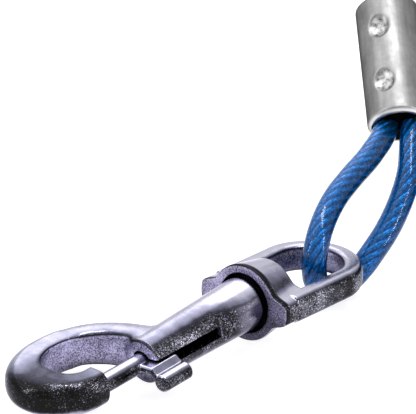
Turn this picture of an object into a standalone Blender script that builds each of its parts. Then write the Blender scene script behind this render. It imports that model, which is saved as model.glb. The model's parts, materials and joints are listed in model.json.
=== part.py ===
"""A lead of vinyl-coated wire cable: each end is a crimped eye loop that holds a swivel bolt snap.

Metres, +Z up, lying on a floor at z = 0. The near snap points along -X from its barrel, and the origin is
on the floor under the middle of the near snap. The rest of the cable is wound in a tied coil.
"""

import math

import bmesh
import bpy
from mathutils import Matrix, Vector

# Clearances
GAP = 0.0003  # between pieces that touch
BOLT_PLAY = 0.00035  # round the bolt in its bore, and each side of the lug in its slot
SWIVEL_PLAY = 0.0009  # round the loose stem of the eye in the barrel's lip

# Snap body: barrel
BARREL_LENGTH = 0.0295
BARREL_FRONT_R = 0.0044
BARREL_REAR_R = 0.00515
BARREL_EDGE = 0.0005
LIP_LENGTH = 0.0020
CHAMBER_LENGTH = 0.0056

# Snap body: hook
NOSE_DISTANCE = 0.0093  # clear length of bolt between barrel and nose
NOSE_LENGTH = 0.0016  # straight end of the hook
NOSE_SEAT_DEPTH = 0.0012
HOOK_R = 0.0075  # of the hook's centre line
HOOK_FLAT = 0.0010  # straight stretch at the tip, where a ring pulls
HOOK_BACK_LONG = 0.0095  # length of the quarter ellipse from the tip to the hook's back
HOOK_BACK_REACH = 0.0098  # how far the back of the hook runs on before it turns to the barrel
HOOK_ROOT_SLOPE = (-0.0012, 0.0100)  # how the shank comes down to the barrel
HOOK_ROOT_X = 0.0067  # from the barrel's front to where the shank meets its axis
HOOK_NOSE_WIDTH = 0.0050
HOOK_TIP_WIDTH = 0.0072
HOOK_BACK_WIDTH = 0.0047
HOOK_ROOT_WIDTH = 0.0072
HOOK_HEIGHT = 0.0068
HOOK_ROOT_HEIGHT = 0.0086
HOOK_ROUND = 2.3  # power of the rounded outer side
HOOK_SQUARE = 5.0  # power of the squarer inner side

# Bolt and spring
BOLT_R = 0.0018
BOLT_EDGE = 0.0004
BOLT_SEATED = 0.0006  # how far the tip stands in the nose
BOLT_TRAVEL = 0.0110
LUG_LEAD = 0.0008  # how far the lug stands in front of the barrel
LUG_LENGTH = 0.0076
LUG_WEB = 0.0015
LUG_R = 0.0017
LUG_OUT = 0.0067  # from the bolt's axis to the middle of the thumb pad
LUG_DROP = 0.0019  # of the pad below the web
LUG_BEND = 0.0046  # where the web turns down to the pad
PAD_FROM = math.radians(-10)  # where round the pad its curve starts and stops
PAD_TO = math.radians(300)
LUG_EDGE = 0.0004
LUG_ROLL = math.radians(-6)  # the slot and the web sit slightly above the hook's plane
SPRING_WIRE = 0.00045
SPRING_R = 0.00150  # of the wire's centre line
SPRING_CURLS = 7

# Swivel eye
STEM_R = 0.0020
STEM_HEAD_R = 0.0032
STEM_HEAD_LENGTH = 0.0014
COLLAR_OVERLAP = 0.0003  # how far the collar's rim reaches over the barrel's end
COLLAR_R = 0.0075
COLLAR_LENGTH = 0.0078
COLLAR_TAPER = 0.86
COLLAR_BEVEL = 0.05
COLLAR_BLEND = 9  # how sharply the ears run into the boss
EAR_POWER = 4
RECESS_DEPTH = 0.0034
RECESS_MARGIN = 0.0006
EAR_REACH = 0.0103
EAR_HALF_HEIGHT = 0.0029
RING_LENGTH = 0.0293  # from the collar's face to the end of the ring
LIMB_WIDTH = 0.0040
LIMB_HEIGHT = 0.0054
LIMB_POWER = 3.0

# Cable and ferrule
CABLE_R = 0.0024
CORE_R = 0.0015
FERRULE_R = 0.0061
FERRULE_LENGTH = 0.0268
FERRULE_EDGE = 0.0006
LEG_SPACING = 0.0052  # between the two legs in the ferrule
LEG_DEPTH = 0.0080
DIMPLE_R = 0.0023
DIMPLE_DEPTH = 0.0010
DIMPLE_SPACING = 0.0122
DIMPLE_TURN = math.radians(-24)  # of the crimp marks about the sleeve, from square to the legs

# Loop at the near end: from inside the ferrule down through the ring, under its bar and back up
MM = 0.001
NEAR_MOUTH = (55.0, 10.75, 24.5)
NEAR_FERRULE_AXIS = (0.537, 0.624, 0.568)
NEAR_LEG_SIDE = (0.727, -0.683, 0.064)
NEAR_LOOP_ROUTE = (
    (44.7, 8.7, 22.5),
    (36.3, 6.4, 20.8),
    (30.4, 4.7, 19.4),
    (25.6, 3.0, 17.4),
    (21.6, 1.2, 14.8),
    (19.5, 0.2, 11.1),
    (20.2, 0.4, 7.0),
    (22.8, 0.7, 4.2),
    (26.5, 1.0, 3.0),
    (30.0, 0.8, 3.2),
    (33.0, 0.4, 4.9),
    (35.2, -0.1, 7.1),
    (40.3, 0.2, 10.9),
    (45.3, 1.4, 15.0),
    (49.6, 3.3, 18.9),
    (53.6, 6.4, 22.2),
)
# Cable from the near ferrule over to the coil
LEAD_ROUTE = (
    (74.9, 29.8, 43.0),
    (83.0, 37.0, 46.5),
    (94.0, 42.5, 47.0),
    (107.0, 43.0, 42.0),
    (120.0, 36.5, 32.0),
    (131.5, 25.0, 20.5),
    (138.2, 13.0, 11.5),
    (137.6, 8.0, 6.0),
)

# Coil
COIL_PLACE = (0.1050, -0.0080)
COIL_INNER_R = 0.0215
COIL_PITCH = 0.0053
COIL_LAYERS = 4
COIL_TURNS_A_LAYER = 1.9375
POINTS_A_TURN = 24
TIE_WIDTH = 0.0100
TIE_THICKNESS = 0.0008
TIE_ANGLE = math.radians(-100)
TIE_CORNER = 0.0030

# Cable from the coil to the far ferrule, as distance run and height, and half of the flat far loop
TAIL_ROUTE = ((120.0, 18.0), (130.0, 13.0), (139.0, 8.0), (145.0, 6.2))
FAR_TOP_X = 0.1470
FAR_LOOP_HALF = ((5.0, 3.2), (12.0, 5.6), (20.0, 7.2), (27.0, 7.0), (32.0, 5.0), (34.5, 2.2))
FAR_LOOP_REACH = 0.0350
FAR_LOOP_RISE = 0.0042

# How the near snap lies: hook tip on the floor, eye held up a little by the stiff loop
NEAR_BARREL_PITCH = math.radians(6.5)
NEAR_EYE_PITCH = math.radians(-7.0)
NEAR_EYE_YAW = math.radians(2.7)
NEAR_EYE_ROLL = math.radians(-1.0)
# How the far snap lies: ring on edge on the floor, hook tip on the floor
FAR_BARREL_PITCH = math.radians(8.55)
FAR_EYE_ROLL = math.radians(90.0)

# Facets
TURN_STEPS = 24
CUTTER_SEAM = math.pi / 3 / TURN_STEPS  # keeps a cutter's edges off those of the piece it cuts
SHARP = math.radians(40)
WELD = 0.00001
SECTION_POINTS = 14
COLLAR_POINTS = 40
ARC_STATIONS = 8
ROOT_STATIONS = 11
RING_STATIONS = 14
PAD_STATIONS = 12
PATH_STATIONS = 12
CURL_POINTS = 8
CORNER_STATIONS = 4
BALL_SPLITS = 3
JACKET_POINTS = 12  # round a tube
CORD_POINTS = 8
WIRE_POINTS = 6
LOOP_STEP = 1.4 * CABLE_R
LEAD_STEP = 4 * CABLE_R


# Helpers


def collection(name):
    made = bpy.data.collections.new(name)
    bpy.context.scene.collection.children.link(made)
    return made


def material(name, colour, roughness, metallic):
    made = bpy.data.materials.new(name)
    made.use_nodes = True
    shader = made.node_tree.nodes["Principled BSDF"]
    shader.inputs["Base Color"].default_value = (*colour, 1.0)
    shader.inputs["Roughness"].default_value = roughness
    shader.inputs["Metallic"].default_value = metallic
    return made


def empty(name, parent, matrix):
    made = bpy.data.objects.new(name, None)
    PARTS.objects.link(made)
    made.parent = parent
    made.matrix_local = matrix
    return made


def place(obj, parent, finish=None):
    """A part when it has a finish, and otherwise a hidden cutter or a shape to be joined."""
    obj.parent = parent
    if finish is None:
        CUTTERS.objects.link(obj)
        obj.hide_render = True
        obj.display_type = "WIRE"
        return obj
    PARTS.objects.link(obj)
    obj.data.materials.clear()
    obj.data.materials.append(finish)
    return obj


def smooth(mesh):
    mesh.shade_smooth()
    mesh.set_sharp_from_angle(angle=SHARP)


def turned(name, profile, seam=0.0):
    """A shape turned about X. The profile holds (x, radius) pairs, from its highest x to its lowest."""
    mesh = bpy.data.meshes.new(name)
    points = [(x, radius * math.cos(seam), radius * math.sin(seam)) for x, radius in profile]
    edges = [(i, i + 1) for i in range(len(points) - 1)]
    mesh.from_pydata(points, edges, [])
    obj = bpy.data.objects.new(name, mesh)
    screw = obj.modifiers.new("turn", "SCREW")
    screw.axis = "X"
    screw.steps = TURN_STEPS
    screw.render_steps = TURN_STEPS
    screw.use_merge_vertices = True
    screw.merge_threshold = WELD
    return obj


def lofted(name, rings):
    """A closed skin over rings of equally many points, with a flat cap on each end."""
    skin = bmesh.new()
    rows = [[skin.verts.new(point) for point in ring] for ring in rings]
    count = len(rows[0])
    for row, following in zip(rows, rows[1:]):
        for i in range(count):
            j = (i + 1) % count
            skin.faces.new((row[i], row[j], following[j], following[i]))
    skin.faces.new(list(reversed(rows[0])))
    skin.faces.new(rows[-1])
    bmesh.ops.recalc_face_normals(skin, faces=skin.faces)
    mesh = bpy.data.meshes.new(name)
    skin.to_mesh(mesh)
    skin.free()
    smooth(mesh)
    return bpy.data.objects.new(name, mesh)


def tube(name, points, radius, sides):
    curve = bpy.data.curves.new(name, "CURVE")
    curve.dimensions = "3D"
    curve.bevel_depth = radius
    curve.bevel_resolution = sides // 2 - 2
    curve.use_fill_caps = True
    spline = curve.splines.new("POLY")
    spline.points.add(len(points) - 1)
    for knot, point in zip(spline.points, points):
        knot.co = (*point, 1.0)
    return bpy.data.objects.new(name, curve)


def as_mesh(obj):
    """The mesh of a curve object that isn't in a collection yet, with its caps welded on."""
    bpy.context.scene.collection.objects.link(obj)
    graph = bpy.context.evaluated_depsgraph_get()
    mesh = bpy.data.meshes.new_from_object(obj.evaluated_get(graph))
    name = obj.name
    bpy.data.objects.remove(obj)
    skin = bmesh.new()
    skin.from_mesh(mesh)
    bmesh.ops.remove_doubles(skin, verts=skin.verts, dist=WELD)
    bmesh.ops.recalc_face_normals(skin, faces=skin.faces)
    skin.to_mesh(mesh)
    skin.free()
    smooth(mesh)
    return bpy.data.objects.new(name, mesh)


def combine(obj, other, operation):
    step = obj.modifiers.new(other.name, "BOOLEAN")
    step.operation = operation
    step.solver = "EXACT"
    step.object = other


def box(name, low, high):
    mesh = bpy.data.meshes.new(name)
    skin = bmesh.new()
    bmesh.ops.create_cube(skin, size=1.0)
    size = Vector(high) - Vector(low)
    middle = (Vector(high) + Vector(low)) / 2
    bmesh.ops.scale(skin, vec=size, verts=skin.verts)
    bmesh.ops.translate(skin, vec=middle, verts=skin.verts)
    skin.to_mesh(mesh)
    skin.free()
    return bpy.data.objects.new(name, mesh)


def rounded(angle, half_width, half_height, power):
    """A point of a superellipse."""
    c, s = math.cos(angle), math.sin(angle)
    return (
        half_width * math.copysign(abs(c) ** (2 / power), c),
        half_height * math.copysign(abs(s) ** (2 / power), s),
    )


def ring_angles(count):
    return [2 * math.pi * (i + 0.5) / count for i in range(count)]


def bezier(start, first, second, end, t):
    u = 1 - t
    return start * u**3 + first * 3 * t * u**2 + second * 3 * t**2 * u + end * t**3


def smooth_path(route, step):
    """Points about one step apart on a smooth curve through the route's points, with both ends straight."""
    knots = [Vector(point) for point in route]
    before = [knots[0] * 2 - knots[1]] + knots[:-1]
    after = knots[1:] + [knots[-1] * 2 - knots[-2]]
    slopes = [(b - a) / 2 for a, b in zip(before, after)]
    fine = []
    for i in range(len(knots) - 1):
        for k in range(PATH_STATIONS):
            first = knots[i] + slopes[i] / 3
            second = knots[i + 1] - slopes[i + 1] / 3
            fine.append(bezier(knots[i], first, second, knots[i + 1], k / PATH_STATIONS))
    fine.append(knots[-1])
    lengths = [0.0]
    for a, b in zip(fine, fine[1:]):
        lengths.append(lengths[-1] + (b - a).length)
    start = lengths[PATH_STATIONS]
    middle = lengths[-1 - PATH_STATIONS] - start
    count = round(middle / step)
    points = []
    at = 0
    for k in range(count + 1):
        want = start + middle * k / count
        while at < len(fine) - 2 and lengths[at + 1] < want:
            at += 1
        span = lengths[at + 1] - lengths[at]
        points.append(fine[at].lerp(fine[at + 1], (want - lengths[at]) / span))
    return [knots[0]] + points + [knots[-1]]


def path_length(points):
    return sum((Vector(b) - Vector(a)).length for a, b in zip(points, points[1:]))


# Snap body

BARREL_FRONT_X = -BARREL_LENGTH
NOSE_X = BARREL_FRONT_X - NOSE_DISTANCE
HOOK_X = NOSE_X - NOSE_LENGTH


def hook_path():
    """(point, direction, width, height) along the hook, from its nose round to its root in the barrel."""
    lower = Vector((HOOK_X, HOOK_R, 0))
    upper = lower + Vector((HOOK_BACK_LONG - HOOK_R, HOOK_FLAT, 0))
    stations = [(Vector((NOSE_X, 0, 0)), Vector((-1, 0, 0)), HOOK_NOSE_WIDTH, HOOK_HEIGHT)]
    for i in range(ARC_STATIONS + 1):
        turn = -math.pi / 2 * (1 + i / ARC_STATIONS)
        out = Vector((math.cos(turn), math.sin(turn), 0))
        along = Vector((math.sin(turn), -math.cos(turn), 0))
        width = HOOK_NOSE_WIDTH + (HOOK_TIP_WIDTH - HOOK_NOSE_WIDTH) * i / ARC_STATIONS
        stations.append((lower + out * HOOK_R, along, width, HOOK_HEIGHT))
    for i in range(ARC_STATIONS + 1):
        turn = math.pi * (1 - i / ARC_STATIONS / 2)
        out = Vector((HOOK_BACK_LONG * math.cos(turn), HOOK_R * math.sin(turn), 0))
        along = Vector((HOOK_BACK_LONG * math.sin(turn), -HOOK_R * math.cos(turn), 0))
        width = HOOK_TIP_WIDTH + (HOOK_BACK_WIDTH - HOOK_TIP_WIDTH) * i / ARC_STATIONS
        stations.append((upper + out, along.normalized(), width, HOOK_HEIGHT))
    start = upper + Vector((0, HOOK_R, 0))
    first = start + Vector((HOOK_BACK_REACH, 0, 0))
    end = Vector((BARREL_FRONT_X + HOOK_ROOT_X, 0, 0))
    second = end + Vector((*HOOK_ROOT_SLOPE, 0))
    for i in range(1, ROOT_STATIONS + 1):
        t = i / ROOT_STATIONS
        ahead = bezier(start, first, second, end, min(1, t + GAP))
        behind = bezier(start, first, second, end, t - GAP)
        width = HOOK_BACK_WIDTH + (HOOK_ROOT_WIDTH - HOOK_BACK_WIDTH) * t**2
        height = HOOK_HEIGHT + (HOOK_ROOT_HEIGHT - HOOK_HEIGHT) * t**2
        point = bezier(start, first, second, end, t)
        stations.append((point, (ahead - behind).normalized(), width, height))
    return stations


def hook_rings():
    rings = []
    for point, along, width, height in hook_path():
        inward = Vector((along.y, -along.x, 0))
        ring = []
        for angle in ring_angles(SECTION_POINTS):
            power = HOOK_SQUARE if math.cos(angle) > 0 else HOOK_ROUND
            across, up = rounded(angle, width / 2, height / 2, power)
            ring.append(point + inward * across + Vector((0, 0, up)))
        rings.append(ring)
    return rings


LUG_FRONT_X = BARREL_FRONT_X - LUG_LEAD
LUG_REAR_X = LUG_FRONT_X + LUG_LENGTH
SLOT_END_X = LUG_REAR_X + BOLT_TRAVEL + BOLT_PLAY
CHAMBER_X = -LIP_LENGTH - CHAMBER_LENGTH


def snap_body(prefix, frame):
    barrel = turned(
        prefix + "_snap_body",
        [
            (0, 0),
            (0, BARREL_REAR_R - BARREL_EDGE),
            (-BARREL_EDGE, BARREL_REAR_R),
            (BARREL_FRONT_X + BARREL_EDGE, BARREL_FRONT_R),
            (BARREL_FRONT_X, BARREL_FRONT_R - BARREL_EDGE),
            (BARREL_FRONT_X, 0),
        ],
    )
    place(barrel, frame, CHROME)
    hook = place(lofted(prefix + "_hook", hook_rings()), frame)
    past = 4 * GAP
    bore = turned(
        prefix + "_bore_cut",
        [
            (past, 0),
            (past, STEM_R + SWIVEL_PLAY),
            (-LIP_LENGTH, STEM_R + SWIVEL_PLAY),
            (-LIP_LENGTH, STEM_HEAD_R + SWIVEL_PLAY),
            (CHAMBER_X, STEM_HEAD_R + SWIVEL_PLAY),
            (CHAMBER_X, BOLT_R + BOLT_PLAY),
            (BARREL_FRONT_X - past, BOLT_R + BOLT_PLAY),
            (BARREL_FRONT_X - past, 0),
        ],
        CUTTER_SEAM,
    )
    place(bore, frame)
    half = LUG_WEB / 2 + BOLT_PLAY
    slot = box(
        prefix + "_slot_cut",
        (BARREL_FRONT_X - past, -2 * BARREL_REAR_R, -half),
        (SLOT_END_X, -BOLT_R / 2, half),
    )
    place(slot, frame)
    slot.rotation_euler = (LUG_ROLL, 0, 0)
    seat = turned(
        prefix + "_nose_cut",
        [
            (NOSE_X + past, 0),
            (NOSE_X + past, BOLT_R + BOLT_PLAY),
            (NOSE_X - NOSE_SEAT_DEPTH, BOLT_R + BOLT_PLAY),
            (NOSE_X - NOSE_SEAT_DEPTH, 0),
        ],
        CUTTER_SEAM,
    )
    place(seat, frame)
    combine(barrel, hook, "UNION")
    for cutter in (bore, slot, seat):
        combine(barrel, cutter, "DIFFERENCE")
    return barrel


# Bolt and spring

BOLT_TIP_X = NOSE_X - BOLT_SEATED
SPRING_FRONT_X = LUG_REAR_X + GAP
SPRING_REAR_X = -LIP_LENGTH - 2 * SWIVEL_PLAY - STEM_HEAD_LENGTH - GAP


def lug_ring(x, shrink):
    """The web and the round thumb pad that hangs from it, as one outline across the bolt's axis."""
    web = LUG_WEB / 2 - shrink
    pad = LUG_R - shrink
    outline = [(x, -BOLT_R / 2, -web), (x, -LUG_BEND, -web)]
    for i in range(PAD_STATIONS + 1):
        turn = PAD_FROM + (PAD_TO - PAD_FROM) * i / PAD_STATIONS
        outline.append((x, -LUG_OUT + pad * math.cos(turn), -LUG_DROP - pad * math.sin(turn)))
    outline.append((x, -LUG_BEND, web))
    outline.append((x, -BOLT_R / 2, web))
    return outline


def bolt(prefix, frame):
    rod = turned(
        prefix + "_bolt",
        [
            (LUG_REAR_X, 0),
            (LUG_REAR_X, BOLT_R - BOLT_EDGE),
            (LUG_REAR_X - BOLT_EDGE, BOLT_R),
            (BOLT_TIP_X + BOLT_EDGE, BOLT_R),
            (BOLT_TIP_X, BOLT_R - BOLT_EDGE),
            (BOLT_TIP_X, 0),
        ],
    )
    place(rod, frame, CHROME)
    ends = [
        (LUG_FRONT_X, LUG_EDGE),
        (LUG_FRONT_X + LUG_EDGE, 0),
        (LUG_REAR_X - 2 * LUG_EDGE, 0),
        (LUG_REAR_X - LUG_EDGE, LUG_EDGE),
    ]
    lug = lofted(prefix + "_lug", [lug_ring(x, shrink) for x, shrink in ends])
    place(lug, frame)
    lug.rotation_euler = (LUG_ROLL, 0, 0)
    combine(rod, lug, "UNION")
    return rod


def bolt_spring(prefix, frame):
    count = SPRING_CURLS * CURL_POINTS
    first = SPRING_FRONT_X + SPRING_WIRE / 2
    last = SPRING_REAR_X - SPRING_WIRE / 2
    points = []
    for i in range(count + 1):
        turn = 2 * math.pi * i / CURL_POINTS
        x = first + (last - first) * i / count
        points.append((x, SPRING_R * math.cos(turn), SPRING_R * math.sin(turn)))
    pitch = (last - first) / SPRING_CURLS
    print(f"{prefix} spring: least gap between curls {1000 * (pitch - SPRING_WIRE):.2f} mm")
    return place(tube(prefix + "_bolt_spring", points, SPRING_WIRE / 2, WIRE_POINTS), frame, STEEL)


# Swivel eye

COLLAR_X = -COLLAR_OVERLAP
RING_END_X = COLLAR_X + RING_LENGTH
BAR_X = RING_END_X - LIMB_WIDTH / 2
BEND_R = EAR_REACH - LIMB_WIDTH / 2


def collar_ring(x, share):
    """The collar's outline: a round boss with an ear on each side."""
    ring = []
    for angle in ring_angles(COLLAR_POINTS):
        side = abs(math.cos(angle)) / EAR_REACH
        top = abs(math.sin(angle)) / EAR_HALF_HEIGHT
        ear = (side**EAR_POWER + top**EAR_POWER) ** (-1 / EAR_POWER)
        boss = COLLAR_R * share
        reach = min(EAR_REACH, (boss**COLLAR_BLEND + ear**COLLAR_BLEND) ** (1 / COLLAR_BLEND))
        ring.append((x, reach * math.cos(angle), reach * math.sin(angle)))
    return ring


def ring_rings():
    """Sections of the oval ring, from one ear round the far end to the other ear."""
    start = COLLAR_X + COLLAR_LENGTH / 2
    centre = BAR_X - BEND_R
    stations = [(Vector((start, BEND_R, 0)), Vector((0, 1, 0)))]
    for i in range(RING_STATIONS + 1):
        turn = math.pi / 2 - math.pi * i / RING_STATIONS
        out = Vector((math.cos(turn), math.sin(turn), 0))
        stations.append((Vector((centre, 0, 0)) + out * BEND_R, out))
    stations.append((Vector((start, -BEND_R, 0)), Vector((0, -1, 0))))
    rings = []
    for point, out in stations:
        ring = []
        for angle in ring_angles(SECTION_POINTS):
            across, up = rounded(angle, LIMB_WIDTH / 2, LIMB_HEIGHT / 2, LIMB_POWER)
            ring.append(point + out * across + Vector((0, 0, up)))
        rings.append(ring)
    return rings


def swivel_eye(prefix, frame):
    back = COLLAR_X + COLLAR_LENGTH
    edge = COLLAR_BEVEL * COLLAR_R
    sections = [
        (COLLAR_X, 1 - COLLAR_BEVEL),
        (COLLAR_X + edge, 1),
        (COLLAR_X + COLLAR_LENGTH / 2, (1 + COLLAR_TAPER) / 2),
        (back - edge, COLLAR_TAPER),
        (back, COLLAR_TAPER - COLLAR_BEVEL),
    ]
    eye = lofted(prefix + "_swivel_eye", [collar_ring(x, share) for x, share in sections])
    place(eye, frame, CHROME)
    recess_r = BARREL_REAR_R + RECESS_MARGIN
    recess = turned(
        prefix + "_recess_cut",
        [
            (COLLAR_X + RECESS_DEPTH, 0),
            (COLLAR_X + RECESS_DEPTH, recess_r),
            (COLLAR_X - RECESS_DEPTH, recess_r),
            (COLLAR_X - RECESS_DEPTH, 0),
        ],
        CUTTER_SEAM,
    )
    place(recess, frame)
    ring = place(lofted(prefix + "_ring", ring_rings()), frame)
    neck = -LIP_LENGTH - SWIVEL_PLAY
    stem = turned(
        prefix + "_stem",
        [
            (COLLAR_X + COLLAR_LENGTH / 2, 0),
            (COLLAR_X + COLLAR_LENGTH / 2, STEM_R),
            (neck, STEM_R),
            (neck, STEM_HEAD_R),
            (neck - STEM_HEAD_LENGTH, STEM_HEAD_R),
            (neck - STEM_HEAD_LENGTH, 0),
        ],
    )
    place(stem, frame)
    combine(eye, recess, "DIFFERENCE")
    combine(eye, ring, "UNION")
    combine(eye, stem, "UNION")
    return eye


def snap(prefix, parent, body_matrix, eye_turn):
    """One bolt snap. The eye sits askew in the barrel's lip by its play, and turns about the barrel."""
    body_frame = empty(prefix + "_barrel_axis", parent, body_matrix)
    pivot = Matrix.Translation((-LIP_LENGTH / 2, 0, 0))
    eye_frame = empty(prefix + "_eye_axis", body_frame, pivot @ eye_turn @ pivot.inverted())
    return [
        snap_body(prefix, body_frame),
        bolt(prefix, body_frame),
        bolt_spring(prefix, body_frame),
        swivel_eye(prefix, eye_frame),
    ]


# Ferrule, loop, coil and tie


def ferrule(prefix, frame):
    """A crimped sleeve with its mouth at x = 0. The live leg runs through it on the +Y side."""
    sleeve = turned(
        prefix + "_ferrule",
        [
            (FERRULE_LENGTH, 0),
            (FERRULE_LENGTH, FERRULE_R - FERRULE_EDGE),
            (FERRULE_LENGTH - FERRULE_EDGE, FERRULE_R),
            (FERRULE_EDGE, FERRULE_R),
            (0, FERRULE_R - FERRULE_EDGE),
            (0, 0),
        ],
    )
    place(sleeve, frame, ALUMINIUM)
    past = 4 * GAP
    bore_r = CABLE_R + GAP
    bores = ((1, "_live_cut", FERRULE_LENGTH + past), (-1, "_dead_cut", LEG_DEPTH + past))
    for side, name, depth in bores:
        profile = [(depth, 0), (depth, bore_r), (-past, bore_r), (-past, 0)]
        cut = turned(prefix + name, profile, CUTTER_SEAM)
        place(cut, frame)
        cut.location = (0, side * LEG_SPACING / 2, 0)
        combine(sleeve, cut, "DIFFERENCE")
    ball_r = (DIMPLE_R**2 + DIMPLE_DEPTH**2) / (2 * DIMPLE_DEPTH)
    for side in (1, -1):
        for end in (1, -1):
            mesh = bpy.data.meshes.new(prefix + "_dimple_cut")
            skin = bmesh.new()
            bmesh.ops.create_icosphere(skin, subdivisions=BALL_SPLITS, radius=ball_r)
            skin.to_mesh(mesh)
            skin.free()
            ball = place(bpy.data.objects.new(prefix + "_dimple_cut", mesh), frame)
            along = (FERRULE_LENGTH + end * DIMPLE_SPACING) / 2
            out = side * (FERRULE_R + ball_r - DIMPLE_DEPTH)
            ball.location = (along, -out * math.sin(DIMPLE_TURN), out * math.cos(DIMPLE_TURN))
            combine(sleeve, ball, "DIFFERENCE")
    return sleeve


def stretched(points, by):
    """The same path, run on at both ends."""
    first = points[0] + (points[0] - points[1]).normalized() * by
    last = points[-1] + (points[-1] - points[-2]).normalized() * by
    return [first] + points[1:-1] + [last]


def loop(prefix, parent, points):
    """The eye loop: a vinyl jacket with the wire rope inside it."""
    jacket = as_mesh(tube(prefix + "_loop_jacket", points, CABLE_R, JACKET_POINTS))
    place(jacket, parent, VINYL)
    hollow = as_mesh(tube(prefix + "_hollow_cut", stretched(points, 4 * GAP), CORE_R + GAP, CORD_POINTS))
    place(hollow, parent)
    combine(jacket, hollow, "DIFFERENCE")
    core = place(tube(prefix + "_loop_core", points, CORE_R, CORD_POINTS), parent, WIRE)
    return [jacket, core]


def coil_points():
    """One unbroken tube's middle line, winding clockwise in and out in layers."""
    outer_r = COIL_INNER_R + COIL_PITCH * COIL_TURNS_A_LAYER
    low = CABLE_R + TIE_THICKNESS + GAP
    count = round(COIL_LAYERS * COIL_TURNS_A_LAYER * POINTS_A_TURN)
    points = []
    for i in range(count + 1):
        turns = i / POINTS_A_TURN
        layer = min(COIL_LAYERS - 1, int(turns / COIL_TURNS_A_LAYER))
        into = turns - layer * COIL_TURNS_A_LAYER
        inward = into if layer % 2 == 0 else COIL_TURNS_A_LAYER - into
        radius = outer_r - COIL_PITCH * inward
        height = 0.0
        for reversal in range(1, COIL_LAYERS):
            t = 2 * (turns - reversal * COIL_TURNS_A_LAYER) + 1 / 2
            t = min(1, max(0, t))
            height += COIL_PITCH * t * t * (3 - 2 * t)
        angle = -2 * math.pi * turns
        place_x = COIL_PLACE[0] + radius * math.cos(angle)
        place_y = COIL_PLACE[1] + radius * math.sin(angle)
        points.append(Vector((place_x, place_y, low + height)))
    start = points[0] + Vector((0, 2 * CABLE_R, 0))
    end = points[-1] + Vector((2 * CABLE_R, 0, 0))
    return [start] + points + [end]


def least_gap(points, radius, apart):
    """The least clear distance between stretches of a tube that are this many points apart or more."""
    return min(
        (a - b).length - 2 * radius
        for i, a in enumerate(points)
        for b in points[i + apart :]
    )


def band_outline(low_x, high_x, low_y, high_y, corner):
    outline = []
    corners = ((high_x, high_y, 0), (low_x, high_y, 1), (low_x, low_y, 2), (high_x, low_y, 3))
    for x, y, quarter in corners:
        inner_x = x - corner if x == high_x else x + corner
        inner_y = y - corner if y == high_y else y + corner
        for i in range(CORNER_STATIONS + 1):
            turn = math.pi / 2 * (quarter + i / CORNER_STATIONS)
            outline.append((inner_x + corner * math.cos(turn), inner_y + corner * math.sin(turn)))
    return outline


def coil_tie(parent):
    """A closed band round the coil's turns, standing across them."""
    inner = COIL_INNER_R - CABLE_R - GAP
    outer = COIL_INNER_R + COIL_PITCH * COIL_TURNS_A_LAYER + CABLE_R + GAP
    high = TIE_THICKNESS + 2 * (CABLE_R + GAP) + COIL_PITCH * (COIL_LAYERS - 1)
    wall = TIE_THICKNESS
    curve = bpy.data.curves.new("coil_tie", "CURVE")
    curve.dimensions = "2D"
    curve.fill_mode = "BOTH"
    curve.extrude = TIE_WIDTH / 2
    outlines = [
        band_outline(inner - wall, outer + wall, 0, high + wall, TIE_CORNER),
        band_outline(inner, outer, wall, high, TIE_CORNER - wall),
    ]
    for outline in outlines:
        spline = curve.splines.new("POLY")
        spline.use_cyclic_u = True
        spline.points.add(len(outline) - 1)
        for knot, point in zip(spline.points, outline):
            knot.co = (*point, 0.0, 1.0)
    band = place(as_mesh(bpy.data.objects.new("coil_tie", curve)), parent, STRAP)
    stand = Matrix.Rotation(math.pi / 2, 4, "X")
    spot = Matrix.Translation((*COIL_PLACE, 0))
    band.matrix_local = spot @ Matrix.Rotation(TIE_ANGLE, 4, "Z") @ stand
    return band


def world_bounds(objects):
    bpy.context.view_layer.update()
    graph = bpy.context.evaluated_depsgraph_get()
    corners = []
    for obj in objects:
        shape = obj.evaluated_get(graph)
        mesh = shape.to_mesh()
        corners += [shape.matrix_world @ vertex.co for vertex in mesh.vertices]
        shape.to_mesh_clear()
    low = Vector([min(corner[i] for corner in corners) for i in range(3)])
    high = Vector([max(corner[i] for corner in corners) for i in range(3)])
    return low, high


def metres(route):
    return [Vector(point) * MM for point in route]


# The scene

for leftover in list(bpy.data.objects):
    bpy.data.objects.remove(leftover)
PARTS = collection("cable_lead")
CUTTERS = collection("cable_lead_cutters")
CHROME = material("plated_zinc", (0.62, 0.62, 0.70), 0.22, 1.0)
STEEL = material("spring_steel", (0.50, 0.50, 0.52), 0.35, 1.0)
VINYL = material("blue_vinyl", (0.01, 0.13, 0.55), 0.15, 0.0)
WIRE = material("wire_strand", (0.45, 0.47, 0.50), 0.40, 1.0)
ALUMINIUM = material("crimped_aluminium", (0.50, 0.50, 0.49), 0.45, 1.0)
STRAP = material("black_tie", (0.02, 0.02, 0.02), 0.60, 0.0)
LEAD = empty("cable_lead_frame", None, Matrix.Identity(4))

# Near snap
near_tilt = Matrix.Rotation(-NEAR_BARREL_PITCH, 4, "Y")
hook_low = min((near_tilt @ point).z for ring in hook_rings() for point in ring)
near_matrix = Matrix.Translation((0, 0, -hook_low)) @ near_tilt
near_turn = (
    Matrix.Rotation(NEAR_EYE_YAW, 4, "Z")
    @ Matrix.Rotation(-NEAR_EYE_PITCH, 4, "Y")
    @ Matrix.Rotation(NEAR_EYE_ROLL, 4, "X")
)
near_snap = snap("near", LEAD, near_matrix, near_turn)

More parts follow.
